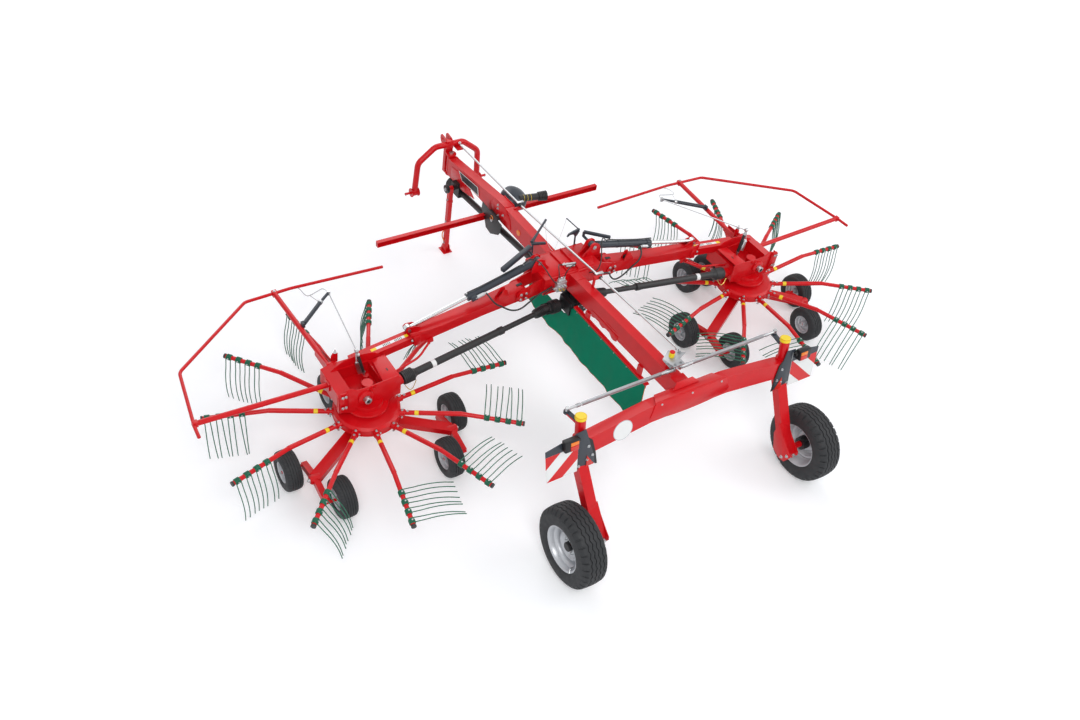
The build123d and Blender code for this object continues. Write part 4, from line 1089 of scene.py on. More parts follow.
    def _turnbuckle(self) -> None:
        """Build the turnbuckle that stands on the housing."""
        side = self.side
        low, high = spot(side, 2.246, 2.250, 0.740), spot(side, 2.322, 2.285, 1.080)
        run = (high - low).normalized()
        steel = Shape(f"turnbuckle_{self.name}", self.body, LIGHT_STEEL)
        steel.rod(low, low + run * 0.080, 0.011, 12)
        steel.rod(low + run * 0.292, high, 0.009, 12)
        steel.rod(low + run * 0.070, low + run * 0.086, 0.019, 16)
        steel.rod(low + run * 0.292, low + run * 0.306, 0.019, 16)
        beside = spot(side, 0.036, 2.250 - 2.278, 0) - spot(side, 0, 0, 0)
        beside.y = -0.012
        steel.rod(low + run * 0.100 + beside, low + run * 0.215 + beside, 0.021, 20)
        steel.rod(low + run * 0.215 + beside, low + run * 0.235 + beside, 0.021, 20, tip=0.008)
        steel.rod(low + run * 0.235 + beside, low + run * 0.330 + beside * 0.3, 0.006, 8)
        steel.rod(high - Vector((side * 0.014, 0, 0)), high + Vector((side * 0.014, 0, 0)), 0.019, 20)
        steel.done(self.palette)
        grip = Shape(f"turnbuckle_grip_{self.name}", self.body, PLASTIC)
        grip.rod(low + run * 0.086, low + run * 0.292, 0.0165, 16)
        grip.done(self.palette)

    def _shaft_strut(self) -> None:
        """Build the bent strut between the arm and the housing."""
        side = self.side
        work = Shape(f"shaft_strut_{self.name}", self.body, RED)
        points = [spot(side, *point) for point in (
            (1.560, 2.318, 0.855), (1.600, 2.300, 0.832), (1.700, 2.235, 0.800), (1.830, 2.190, 0.812),
            (1.920, 2.175, 0.800), (2.006, 2.172, 0.775),
        )]
        work.tube(smooth_path(points, 6), 0.0115, 12)
        work.block(points[0] + Vector((0, 0, 0.012)), (0.030, 0.012, 0.050), None, 0.002)
        work.done(self.palette)

    def _scale_strip(self) -> None:
        """Build the scale on top of the slide."""
        out, up = arm_axes(self.side)
        base = along_arm(self.side, 1.190, 2.420, 0.0417)
        strip = Shape(f"scale_strip_{self.name}", self.body, BOARD)
        marks = Shape(f"scale_marks_{self.name}", self.body, BLACK)
        ends = Shape(f"scale_ends_{self.name}", self.body, YELLOW)
        thin = 0.00008 * self.side
        strip.plate(((0.02, -0.017), (0.40, -0.017), (0.40, 0.017), (0.02, 0.017)), base, out, AHEAD, thin)
        for start in (0.085, 0.205):
            for tick in range(5):
                low = start + tick * 0.016
                corners = ((low, -0.014), (low + 0.007, -0.014), (low + 0.007, 0.012), (low, 0.012))
                marks.plate(corners, base + up * 0.0001, out, AHEAD, thin)
        for low, high in ((0.020, 0.055), (0.345, 0.400)):
            corners = ((low, -0.017), (high, -0.017), (high, 0.017), (low, 0.017))
            ends.plate(corners, base + up * 0.0001, out, AHEAD, thin)
        for shape in (strip, marks, ends):
            shape.done(self.palette)

    def _wheel_frame(self) -> None:
        """Build the pivot caps and axle nuts of the frame under the rotor."""
        side = self.side
        steel = Shape(f"frame_bolts_{self.name}", self.body, LIGHT_STEEL)
        red = Shape(f"frame_caps_{self.name}", self.body, RED)
        for x, reach in ((1.598, 1), (2.977, -1)):
            for way in (-1, 1):
                face = spot(side, x + way * 0.045, 1.722, 0.262)
                red.rod(face, face + Vector((side * way * 0.008, 0, 0)), 0.036, 24)
                steel.bolt(face + Vector((side * way * 0.008, 0, 0)), Vector((side * way, 0, 0)), 0.030)
            for end in (-1, 1):
                hub = spot(side, x, 1.722 + end * 0.247, 0.195)
                outward = -reach * end
                steel.bolt(
                    hub + Vector((side * outward * 0.218, 0, 0)), Vector((side * outward, 0, 0)), 0.024
                )
        for way in (-1, 1):
            tip = spot(side, 2.222 + way * 0.218, 2.712, 0.195)
            steel.bolt(tip, Vector((side * way, 0, 0)), 0.024)
        steel.done(self.palette)
        red.done(self.palette)


@dataclass
class GuardLinkage:
    """The gas spring, wire crank and pull rod on one rotor guard.

    Attributes:
        name: "left" or "right".
        palette: The materials.
        plane: Height that the linkage lies at.
    """

    name: str
    palette: Palette
    plane: float = 0.800

    def build(self) -> None:
        """Build the linkage and the caps of the guard's struts."""
        side = SIDES[self.name]
        body = f"rotor_carrier_{self.name}"
        z = self.plane
        foot, collar, eye = spot(side, 2.470, 3.100, z), spot(side, 2.212, 3.318, z), spot(
            side, 2.079, 3.420, z
        )
        spring = Shape(f"guard_spring_{self.name}", body, GREY_PAINT)
        spring.rod(foot, collar, 0.021, 20)
        spring.rod(collar, eye, 0.015, 20)
        spring.block(foot + Vector((side * 0.015, 0.0, -0.010)), (0.030, 0.050, 0.052), None, 0.003)
        spring.done(self.palette)
        steel = Shape(f"guard_crank_{self.name}", body, LIGHT_STEEL)
        run = (eye - collar).normalized()
        steel.rod(collar - run * 0.010, collar + run * 0.014, 0.0245, 20)
        steel.rod(eye - Vector((0, 0, 0.022)), eye + Vector((0, 0, 0.022)), 0.018, 20)
        wire = [spot(side, *point) for point in (
            (2.296, 3.668, z - 0.055), (2.300, 3.600, z - 0.020), (2.304, 3.500, z), (2.290, 3.455, z),
            (2.260, 3.451, z), (2.170, 3.480, z), (2.085, 3.512, z), (2.081, 3.415, z),
        )]
        steel.tube(smooth_path(wire, 5), 0.005, 8)
        steel.tube(smooth_path([wire[4], spot(side, 2.240, 3.380, z), collar], 4), 0.004, 8)
        steel.rod(eye, spot(side, 2.322, 2.285, 1.080), 0.006, 8)
        steel.bolt(spot(side, 2.540, 3.662, 0.787), UP, 0.018)
        steel.done(self.palette)
        caps = Shape(f"guard_caps_{self.name}", body, RED)
        for start, end in (
            (spot(side, 2.5385, 3.630, 0.7590), spot(side, 2.5408, 3.688, 0.7604)),
            (spot(side, 3.790, 2.282, 0.8150), spot(side, 3.838, 2.282, 0.8175)),
        ):
            caps.bar(start, end, 0.052, 0.052, 0.004)
        caps.done(self.palette)


@dataclass
class FoldingArm:
    """The fittings of one folding arm and its lift cylinder.

    Attributes:
        name: "left" or "right".
        palette: The materials.
        rear: Station of the arm's rear face.
        front: Station of its front face.
        eye: Distance along the arm and height of the cylinder rod's eye.
    """

    name: str
    palette: Palette
    rear: float = 2.350
    front: float = 2.490
    eye: tuple[float, float] = (1.1864, 0.0853)

    def build(self) -> None:
        """Build the arm's plates, bolts, cylinder and hoses."""
        self.side = SIDES[self.name]
        self.out, self.up = arm_axes(self.side)
        self._plates()
        self._bolts()
        self._cylinder()
        self._hoses()

    def _at(self, out: float, y: float, up: float) -> Vector:
        """Return a point at a distance along the arm."""
        return along_arm(self.side, out, y, up)

    def _plates(self) -> None:
        """Build the wedge, the hooks, the collar and the pads."""
        work = Shape(f"arm_plates_{self.name}", f"arm_{self.name}", RED)
        wedge = ((0.830, 0.048), (1.019, 0.068), (1.150, 0.100), (1.205, 0.118), (1.205, 0.048))
        work.plate(wedge, self._at(0, self.rear + 0.006, 0), self.out, self.up, 0.008 * self.side, 0.001)
        hook = ((0.150, 0.058), (0.165, 0.150), (0.200, 0.165), (0.238, 0.120), (0.290, 0.056))
        for y in (self.rear + 0.004, self.rear + 0.052):
            work.plate(hook, self._at(0, y, 0), self.out, self.up, 0.008 * self.side, 0.001)
        collar = self._at(1.150, 2.420, 0)
        turn = Matrix((self.out, AHEAD, self.up)).transposed()
        if turn.determinant() < 0:
            turn = Matrix((self.out, REARWARD, self.up)).transposed()
        work.block(collar - self.up * 0.0565, (0.070, 0.150, 0.008), turn, 0.001)
        for way in (-1, 1):
            work.block(collar + Vector((0, way * 0.0735, 0)), (0.070, 0.007, 0.118), turn, 0.001)
        work.block(self._at(1.020, self.rear - 0.010, -0.066), (0.060, 0.012, 0.050), turn, 0.002)
        work.done(self.palette)
        pad = Shape(f"arm_pads_{self.name}", f"arm_{self.name}", BLACK)
        pad.block(self._at(0.190, self.rear + 0.032, 0.085), (0.045, 0.038, 0.040), turn, 0.004)
        pad.block(self._at(-0.010, 2.420, 0.0735), (0.060, 0.030, 0.004), turn, 0.0)
        pad.done(self.palette)

    def _bolts(self) -> None:
        """Build the arm's pins and the bolted plates at its pivot."""
        work = Shape(f"arm_bolts_{self.name}", f"arm_{self.name}", LIGHT_STEEL)
        for y, way in ((2.4215, -1), (2.4975, 1)):
            pin = self._at(*self.eye[:1], y, self.eye[1])
            work.rod(pin, pin + Vector((0, way * 0.010, 0)), 0.016, 16)
        work.bolt(self._at(1.200, self.rear - 0.002, 0.020), REARWARD, 0.018)
        rail_start, rail_end = self._at(1.165, self.front + 0.012, 0.052), self._at(
            0.930, self.front + 0.012, 0.052
        )
        work.rod(rail_start, rail_end, 0.006, 10)
        work.done(self.palette)
        pivot = Shape(f"pivot_plates_{self.name}", "frame", RED)
        bolts = Shape(f"pivot_bolts_{self.name}", "frame", LIGHT_STEEL)
        for y, way in ((2.329, -1), (2.511, 1)):
            centre = spot(self.side, 0.532, y, 1.078)
            pivot.rod(centre, centre + Vector((0, way * 0.010, 0)), 0.060, 36)
            for index in range(4):
                angle = math.tau * (index + 0.5) / 4
                ring = Vector((math.cos(angle), 0, math.sin(angle))) * 0.042
                bolts.bolt(centre + ring + Vector((0, way * 0.010, 0)), Vector((0, way, 0)), 0.020)
        pivot.done(self.palette)
        bolts.done(self.palette)

    def _cylinder(self) -> None:
        """Build the lift cylinder's rings, valve, hose and pins."""
        side = self.side
        lug = spot(side, 0.325, 2.460, 1.354)
        eye = self._at(self.eye[0], 2.460, self.eye[1])
        run = (eye - lug).normalized()
        lift = run.cross(Vector((0, -side, 0))).normalized()
        lift = lift if lift.z > 0 else -lift
        body = f"lift_barrel_{self.name}"
        dark = Shape(f"barrel_rings_{self.name}", body, GREY_PAINT)
        dark.lathe(((0.735, 0.0378), (0.735, 0.0425), (0.796, 0.0425), (0.796, 0.0378)), lug, run, 32)
        dark.rod(lug + run * 0.050, lug + run * 0.075, 0.030, 32, tip=0.0385)
        dark.lathe(((0.330, 0.0378), (0.330, 0.0405), (0.345, 0.0405), (0.345, 0.0378)), lug, run, 32)
        dark.block(
            lug + run * 0.745 + REARWARD * 0.048, (0.060, 0.044, 0.044),
            run.to_track_quat("X", "Z").to_matrix(), 0.003,
        )
        dark.done(self.palette)
        steel = Shape(f"barrel_valve_{self.name}", body, LIGHT_STEEL)
        for low, high, radius in ((0.640, 0.715, 0.018), (0.715, 0.735, 0.012), (0.620, 0.640, 0.012)):
            steel.rod(lug + run * low + REARWARD * 0.060, lug + run * high + REARWARD * 0.060, radius, 20)
        steel.rod(lug + run * 0.790 + lift * 0.035, lug + run * 0.790 + lift * 0.060, 0.009, 8)
        steel.rod(lug + run * 0.155 + lift * 0.032, lug + run * 0.155 + lift * 0.052, 0.009, 8)
        steel.done(self.palette)
        line = [lug + run * 0.160 + lift * 0.048]
        heights = ((0.200, 0.058), (0.300, 0.050), (0.450, 0.048), (0.620, 0.047))
        line += [lug + run * reach + lift * height for reach, height in heights]
        line += [lug + run * 0.740 + lift * 0.055, lug + run * 0.787 + lift * 0.058]
        hose(f"barrel_hose_{self.name}", body, line, 0.0058, self.palette)
        pins = Shape(f"lug_pins_{self.name}", "frame", LIGHT_STEEL)
        for y, way in ((2.412, -1), (2.508, 1)):
            head = spot(side, 0.325, y, 1.354)
            pins.rod(head, head + Vector((0, way * 0.006, 0)), 0.022, 20)
            pins.bolt(head + Vector((0, way * 0.006, 0)), Vector((0, way, 0)), 0.016)
        pins.done(self.palette)

    def _hoses(self) -> None:
        """Hang the two hoses that feed the lift cylinder."""
        side = self.side
        arm_line = [spot(side, *point) for point in (
            (0.250, 2.262, 1.150), (0.330, 2.225, 1.165), (0.430, 2.235, 1.130), (0.482, 2.270, 1.035),
            (0.570, 2.290, 0.945), (0.675, 2.300, 0.960), (0.780, 2.303, 1.045), (0.860, 2.300, 1.105),
            (0.900, 2.330, 1.160), (0.915, 2.375, 1.190), (0.925, 2.398, 1.196),
        )]
        pair = ("frame", f"lift_barrel_{self.name}")
        turn = (spot(side, 0.45, 2.27, 1.08), spot(side, 0.80, 2.31, 1.04))
        hose(f"arm_hose_{self.name}", pair, arm_line, 0.0085, self.palette, turn)
        root_line = [spot(side, *point) for point in (
            (0.190, 2.262, 1.190), (0.240, 2.215, 1.210), (0.300, 2.240, 1.300), (0.345, 2.330, 1.395),
            (0.395, 2.410, 1.435), (0.450, 2.452, 1.415), (0.488, 2.460, 1.366),
        )]
        turn = (spot(side, 0.32, 2.30, 1.36), spot(side, 0.46, 2.45, 1.40))
        hose(f"lug_hose_{self.name}", pair, root_line, 0.0058, self.palette, turn)


@dataclass
class CrossMember:
    """The fittings on the cross member.

    Attributes:
        palette: The materials.
        top: Height of its top.
        rear: Station of its rear face.
    """

    palette: Palette
    top: float = 1.250
    rear: float = 2.270

    def build(self) -> None:
        """Build the cover plates, valves and lock levers."""
        self._plates()
        self._valves()
        self._levers()

    def _plates(self) -> None:
        """Build the roof, the cheeks, the lugs and the fittings on top."""
        work = Shape("cross_plates", "frame", RED)
        roof = (
            (-0.250, 0.020), (0.250, 0.020), (0.335, 0.180), (0.335, 0.345), (-0.335, 0.345),
            (-0.335, 0.180),
        )
        work.plate(roof, spot(1, 0, self.rear, self.top), RIGHT, AHEAD, 0.006, 0.002)
        for x in (-0.062, 0.062):
            work.block(spot(1, x, 2.455, self.top + 0.014), (0.010, 0.330, 0.028), None, 0.002)
        for side in SIDES.values():
            cheek = ((0.335, 1.075), (0.450, 1.020), (0.470, 1.150), (0.335, 1.245))
            for y in (2.325, 2.511):
                work.plate(cheek, spot(side, 0, y, 0), Vector((side, 0, 0)), UP, -0.004 * side, 0.001)
            lug = (
                (0.222, 1.246), (0.410, 1.246), (0.404, 1.320), (0.386, 1.370), (0.350, 1.400),
                (0.306, 1.402), (0.272, 1.378), (0.246, 1.310),
            )
            for y, thick in ((2.4185, 0.006), (2.5015, -0.006)):
                work.plate(lug, spot(side, 0, y, 0), Vector((side, 0, 0)), UP, thick * side, 0.001)
        work.block(spot(1, 0, self.rear - 0.004, 1.155), (0.420, 0.008, 0.150), None, 0.002)
        work.done(self.palette)
        bolts = Shape("cross_bolts", "frame", LIGHT_STEEL)
        for x in (-0.028, 0.0, 0.028):
            bolts.bolt(spot(1, x, 2.400 - x * 0.4, self.top + 0.006), UP, 0.018)
        bolts.rod(
            spot(1, -0.070, 2.385, self.top + 0.026), spot(1, 0.070, 2.358, self.top + 0.026), 0.012, 16
        )
        bolts.rod(
            spot(1, -0.045, 2.350, self.top + 0.024), spot(1, 0.045, 2.333, self.top + 0.024), 0.010, 16
        )
        bolts.done(self.palette)

    def _valves(self) -> None:
        """Build the valve block on the rear face and the hoses that leave it."""
        block = Shape("valve_block", "frame", ALUMINIUM)
        block.block(spot(1, -0.160, self.rear - 0.026, 1.150), (0.110, 0.050, 0.110), None, 0.004)
        block.block(spot(1, -0.160, self.rear - 0.024, 1.214), (0.080, 0.042, 0.026), None, 0.003)
        for x in (-0.192, -0.160, -0.128):
            block.rod(spot(1, x, self.rear - 0.050, 1.165), spot(1, x, self.rear - 0.078, 1.165), 0.012, 12)
            block.rod(spot(1, x, self.rear - 0.024, 1.226), spot(1, x, self.rear - 0.024, 1.250), 0.010, 12)
        block.rod(
            spot(1, -0.214, self.rear - 0.024, 1.130), spot(1, -0.244, self.rear - 0.024, 1.130), 0.013, 12
        )
        block.done(self.palette)
        nuts = Shape("valve_nuts", "frame", BRASS)
        for x in (-0.180, -0.142):
            nuts.rod(spot(1, x, self.rear - 0.050, 1.120), spot(1, x, self.rear - 0.070, 1.120), 0.010, 6)
        nuts.done(self.palette)
        loops = (
            (
                "valve_hose_a",
                (
                    (-0.192, 2.246, 1.248), (-0.196, 2.248, 1.300), (-0.185, 2.285, 1.340),
                    (-0.150, 2.340, 1.335),
                )
                + ((-0.110, 2.380, 1.295), (-0.070, 2.385, 1.276)),
            ),
            (
                "valve_hose_b",
                (
                    (-0.128, 2.246, 1.248), (-0.126, 2.240, 1.300), (-0.090, 2.245, 1.345),
                    (-0.020, 2.270, 1.350),
                )
                + ((0.040, 2.300, 1.330), (0.058, 2.346, 1.275)),
            ),
            (
                "valve_hose_c",
                (
                    (-0.244, 2.246, 1.130), (-0.285, 2.246, 1.128), (-0.320, 2.250, 1.105),
                    (-0.335, 2.262, 1.070),
                ),
            ),
        )
        for name, points in loops:
            hose(name, "frame", [spot(1, *point) for point in points], 0.005, self.palette)

    def _levers(self) -> None:
        """Build the lock levers, the lock bars and the cords that pull them."""
        work = Shape("lock_levers", "frame", GREY_PAINT)
        low, high = spot(1, -0.252, 2.690, 1.392), spot(1, 0.023, 2.876, 1.462)
        work.rod(low, high, 0.012, 12)
        work.rod(low, low.lerp(high, 0.38), 0.018, 16, tip=0.013)
        work.bar(spot(1, -0.262, 2.678, 1.384), spot(1, -0.106, 2.658, 1.362), 0.026, 0.024, 0.004)
        work.rod(spot(1, 0.284, 2.655, 1.420), spot(1, 0.226, 2.807, 1.470), 0.006, 10)
        claw = (
            (0.150, 1.362), (0.168, 1.394), (0.220, 1.414), (0.292, 1.430), (0.292, 1.396), (0.268, 1.350),
            (0.244, 1.346), (0.226, 1.378), (0.184, 1.384),
        )
        work.plate(claw, spot(1, 0, 2.668, 0), RIGHT, UP, 0.022, 0.002)
        for side in SIDES.values():
            work.rod(spot(side, 0.256, 2.650, 1.226), spot(side, 0.256, 2.662, 1.384), 0.009, 12)
            work.block(spot(side, 0.256, 2.646, 1.226), (0.040, 0.016, 0.036), None, 0.002)
        work.done(self.palette)
        for side_name, side in SIDES.items():
            bar = Shape(f"lock_bar_{side_name}", f"lift_barrel_{side_name}", GREY_PAINT)
            reach = 0.715 if side < 0 else 0.560
            low = 1.348 if side < 0 else 1.366
            wide = 0.046 if side < 0 else 0.030
            bar.bar(spot(side, 0.318, 2.615, 1.408), spot(side, reach, 2.475, low), wide, wide, 0.005)
            bar.rod(spot(side, 0.325, 2.480, 1.354), spot(side, 0.325, 2.622, 1.354), 0.014, 20)
            bar.bar(spot(side, 0.325, 2.614, 1.350), spot(side, 0.322, 2.614, 1.404), 0.026, 0.018, 0.003)
            bar.done(self.palette)
        for name, points in (
            (
                "pull_cord_left",
                (
                    (-0.020, 2.634, 1.258), (-0.034, 2.690, 1.272), (-0.010, 2.800, 1.325),
                    (0.023, 2.876, 1.452),
                ),
            ),
            (
                "pull_cord_right",
                (
                    (0.004, 2.634, 1.258), (0.050, 2.680, 1.272), (0.160, 2.760, 1.335),
                    (0.226, 2.807, 1.462),
                ),
            ),
        ):
            path = smooth_path([spot(1, *point) for point in points], 8)
            cord = Shape(name, "frame", ROPE)
            cord.tube(path, 0.002, 6)
            knot = Shape(f"{name}_knot", "frame", ROPE)
            bmesh.ops.create_icosphere(
                knot.bm, subdivisions=2, radius=0.006, matrix=Matrix.Translation(path[-1])
            )
            cord.done(self.palette, 60.0)
            knot.done(self.palette)


@dataclass
class DriveLine:
    """The centre gearbox's ribs, the shafts' boots and the bearing's bell.

    Attributes:
        palette: The materials.
        gear: Station and height of the gearbox.
        boot: Distance from the middle and height of the boots' start.
    """

    palette: Palette
    gear: tuple[float, float] = (2.200, 0.918)
    boot: tuple[float, float] = (0.143, 0.885)

    def build(self) -> None:
        """Build the drive line's details."""
        case = Shape("gearbox_ribs", "frame", BLACK)
        for x in (-0.072, -0.024, 0.024, 0.072):
            case.block(spot(1, x, self.gear[0], self.gear[1]), (0.010, 0.204, 0.168), None, 0.003)
        case.rod(
            spot(1, 0, self.gear[0] - 0.092, 0.918), spot(1, 0, self.gear[0] - 0.118, 0.918), 0.062, 32
        )
        case.rod(spot(1, 0, self.gear[0], 0.990), spot(1, 0, self.gear[0], 1.030), 0.045, 28)
        case.done(self.palette)
        bolts = Shape("gearbox_bolts", "frame", LIGHT_STEEL)
        for index in range(6):
            angle = math.tau * index / 6
            at = spot(1, 0.050 * math.cos(angle), self.gear[0] - 0.118, 0.918 + 0.050 * math.sin(angle))
            bolts.bolt(at, REARWARD, 0.012)
        bolts.done(self.palette)
        self._boots()
        self._shaft_ends()

    def _boots(self) -> None:
        """Build the ribbed boots at the gearbox."""
        work = Shape("shaft_boots", "frame", PLASTIC)
        for side in SIDES.values():
            profile = [(0.0, 0.050)]
            for rib in range(7):
                x = 0.004 + rib * 0.0125
                profile += [
                    (x, 0.070 + 0.0004 * rib), (x + 0.007, 0.070 + 0.0004 * rib), (x + 0.0088, 0.0682)
                ]
            profile += [(0.094, 0.070), (0.0945, 0.0600), (0.0, 0.0600)]
            work.lathe(profile, spot(side, self.boot[0], 2.250, self.boot[1]), Vector((side, 0, 0)), 40)
        work.done(self.palette)

    def _shaft_ends(self) -> None:
        """Build the bells, sleeves, boots and chains of both shafts."""
        for name, side in SIDES.items():
            start, end = spot(side, 0.300, 2.250, 0.885), spot(side, 1.950, 2.110, 0.730)
            run = (end - start).normalized()
            length = (end - start).length - 0.010
            outer = Shape(f"shaft_bell_{name}", f"outer_shaft_{name}", PLASTIC)
            profile = [(length - 0.150, 0.0362), (length - 0.120, 0.050)]
            for rib in range(6):
                x = length - 0.108 + rib * 0.016
                profile += [(x, 0.0665), (x + 0.009, 0.0665), (x + 0.011, 0.0628)]
            profile += [(length - 0.003, 0.0640), (length - 0.002, 0.0550)]
            outer.lathe(profile, start, run, 40)
            outer.rod(start + run * 0.512, start + run * 0.560, 0.0405, 32)
            outer.done(self.palette)
            sleeve = Shape(f"shaft_sleeve_{name}", f"outer_shaft_{name}", BOARD)
            low = (1.541 - 0.300) / abs(run.x)
            near, far = low + 0.040, low + 0.085
            sleeve.lathe(((near, 0.0354), (near, 0.0364), (far, 0.0364), (far, 0.0354)), start, run, 32)
            sleeve.done(self.palette)
            inner = Shape(f"inner_boot_{name}", f"inner_shaft_{name}", PLASTIC)
            profile = [(-0.010, 0.052)]
            for rib in range(6):
                x = 0.030 + rib * 0.015
                profile += [
                    (x, 0.0535 - rib * 0.0008), (x + 0.008, 0.0535 - rib * 0.0008),
                    (x + 0.010, 0.0475 - rib * 0.0004),
                ]
            profile += [(0.124, 0.046), (0.140, 0.0275)]
            inner.lathe(profile, start, run, 36)
            inner.done(self.palette)
            chain = Shape(f"shaft_chain_{name}", f"outer_shaft_{name}", BRASS)
            middle = start + run * (length - 0.050)
            points = []
            for step in range(9):
                t = step / 8
                hang = math.sin(math.pi * t)
                points.append(
                    middle + run * (0.055 - 0.12 * t) + Vector(
                        (0, -0.072 - 0.020 * hang, -0.02 - 0.070 * hang)
                    ),
                )
            chain.tube(smooth_path(points, 4), 0.0042, 6)
            chain.done(self.palette)


@dataclass
class Beams:
    """The small pieces along the main beam.

    Attributes:
        palette: The materials.
        half: Half the beam's width.
    """

    palette: Palette
    half: float = 0.053

    def build(self) -> None:
        """Build the beam's plates, bolts, reflector, flap and shaft rest."""
        self._plates()
        self._bolts()
        self._flap()
        self._shaft_rest()
        self._rod_guides()

    def _plates(self) -> None:
        """Build the plates along the beam."""
        work = Shape("beam_plates", "frame", RED)
        for x in (-self.half - 0.006, self.half):
            joint = (
                (3.340, 1.030), (3.690, 1.010), (3.760, 1.120), (3.690, 1.215), (3.500, 1.222),
                (3.380, 1.140),
            )
            work.plate(joint, spot(1, x, 0, 0), AHEAD, UP, 0.006, 0.001)
            nose = ((4.090, 0.930), (4.300, 0.885), (4.620, 0.885), (4.620, 1.020), (4.330, 1.080))
            work.plate(nose, spot(1, x, 0, 0), AHEAD, UP, 0.006, 0.001)
        hanger = (
            (1.400, 1.130), (1.410, 1.062), (1.455, 1.044), (1.485, 1.050), (1.560, 1.098), (1.640, 1.052),
            (1.690, 1.062), (1.720, 1.096), (1.790, 1.060), (1.830, 1.050), (1.840, 1.120),
        )
        work.plate(hanger, spot(1, -self.half - 0.004, 0, 0), AHEAD, UP, 0.004, 0.0005)
        rib = ((1.440, 0.0), (1.600, 0.0), (1.600, 0.006), (1.440, 0.006))
        work.plate(rib, spot(1, -self.half - 0.003, 0, 1.150), AHEAD, UP, 0.003)
        for y, z in ((0.700, 1.3015), (2.150, 1.2480), (2.700, 1.2055), (3.560, 1.2055)):
            work.block(spot(1, 0, y, z), (0.1075, 0.008, 0.006), None, 0.001)
        work.block(spot(1, 0, 3.570, 1.208), (0.118, 0.150, 0.007), None, 0.002)
        work.done(self.palette)

    def _bolts(self) -> None:
        """Build the bolts, reflectors and blank panels on the beam."""
        work = Shape("beam_bolts", "frame", LIGHT_STEEL)
        for side in (-1, 1):
            for y, z in ((3.617, 1.171), (3.612, 1.128), (3.596, 1.051), (3.507, 1.111)):
                work.bolt(spot(side, self.half + 0.006, y, z), Vector((side, 0, 0)), 0.020)
        for y in range(6):
            work.bolt(spot(1, -0.081, 0.960 + y * 0.210, 0.955), Vector((-1, 0, 0)), 0.012)
        work.done(self.palette)
        reflectors = Shape("side_reflectors", "frame", ORANGE)
        for side in (-1, 1):
            face = spot(side, self.half, 3.199, 1.094)
            reflectors.rod(face, face + Vector((side * 0.007, 0, 0)), 0.031, 32)
        reflectors.done(self.palette)
        panel = Shape("beam_panels", "frame", BLACK)
        edge = Shape("beam_panel_edges", "frame", BOARD)
        for side in (-1, 1):
            ahead, up = AHEAD, UP
            outline = ((4.050, 1.112), (4.435, 1.070), (4.365, 1.000), (4.020, 1.030))
            border = ((4.038, 1.120), (4.454, 1.075), (4.372, 0.992), (4.004, 1.022))
            edge.plate(border, spot(side, self.half + 0.0062, 0, 0), ahead, up, 0.0006 * side)
            panel.plate(outline, spot(side, self.half + 0.0069, 0, 0), ahead, up, 0.0006 * side)
        panel.done(self.palette)
        edge.done(self.palette)

    def _flap(self) -> None:
        """Build the rubber flap with its ring and pin."""
        flap = Shape("rubber_flap", "frame", PLASTIC)
        outline = (
            (3.855, 1.068), (3.640, 1.052), (3.450, 1.028), (3.460, 0.930), (3.491, 0.874), (3.637, 0.793),
            (3.740, 0.810), (3.774, 0.880), (3.860, 0.975),
        )
        flap.plate(outline, spot(1, -0.104, 0, 0), AHEAD, UP, 0.008, 0.002)
        flap.block(spot(1, -0.078, 3.640, 1.030), (0.048, 0.180, 0.020), None, 0.002)
        flap.done(self.palette)
        ring = Shape("flap_ring", "frame", ORANGE)
        loop = [
            spot(1, -0.110, 3.640 + 0.026 * math.cos(a), 1.000 + 0.026 * math.sin(a))
            for a in (math.tau * step / 20 for step in range(3, 20))
        ]
        ring.tube(loop, 0.0045, 8)
        ring.done(self.palette)
        pin = Shape("flap_pin", "frame", LIGHT_STEEL)
        pin.rod(spot(1, -0.100, 3.620, 0.985), spot(1, -0.126, 3.620, 0.985), 0.014, 16)
        pin.done(self.palette)

    def _shaft_rest(self) -> None:
        """Build the guard bell and tube of the stowed drive shaft beside the beam."""
        bell = Shape("stowed_bell", "frame", GREY_PAINT)
        middle = spot(1, 0.235, 3.760, 1.090)
        axis = Vector((0.25, -0.30, 0.92)).normalized()
        profile = (
            (-0.030, 0.150), (0.0, 0.150), (0.040, 0.136), (0.066, 0.104), (0.078, 0.055), (0.081, 0.0)
        )
        bell.lathe(profile, middle, axis, 48)
        bell.done(self.palette)
        tube = Shape("stowed_tube", "frame", PLASTIC)
        start, end = spot(1, 0.250, 3.690, 1.120), spot(1, 0.560, 3.630, 1.120)
        run = (end - start).normalized()
        tube.rod(start, end, 0.038, 28)
        profile = [(0.0, 0.038)]
        for rib in range(5):
            x = 0.004 + rib * 0.018
            profile += [(x, 0.050 + 0.001 * rib), (x + 0.011, 0.050 + 0.001 * rib), (x + 0.013, 0.045)]
        profile += [(0.096, 0.056), (0.098, 0.038)]
        tube.lathe(profile, end - run * 0.098, run, 36)
        tube.block(spot(1, 0.100, 3.720, 1.040), (0.100, 0.030, 0.020), None, 0.002)
        tube.done(self.palette)
        marks = Shape("stowed_tube_marks", "frame", YELLOW)
        for shift in (0.050, 0.090, 0.130):
            marks.rod(start + run * shift, start + run * (shift + 0.003), 0.0384, 28)
        marks.done(self.palette)
        post = Shape("stowed_rest", "frame", RED)
        post.bar(spot(1, 0.050, 3.720, 1.060), spot(1, 0.240, 3.740, 1.060), 0.040, 0.012, 0.002)
        post.done(self.palette)

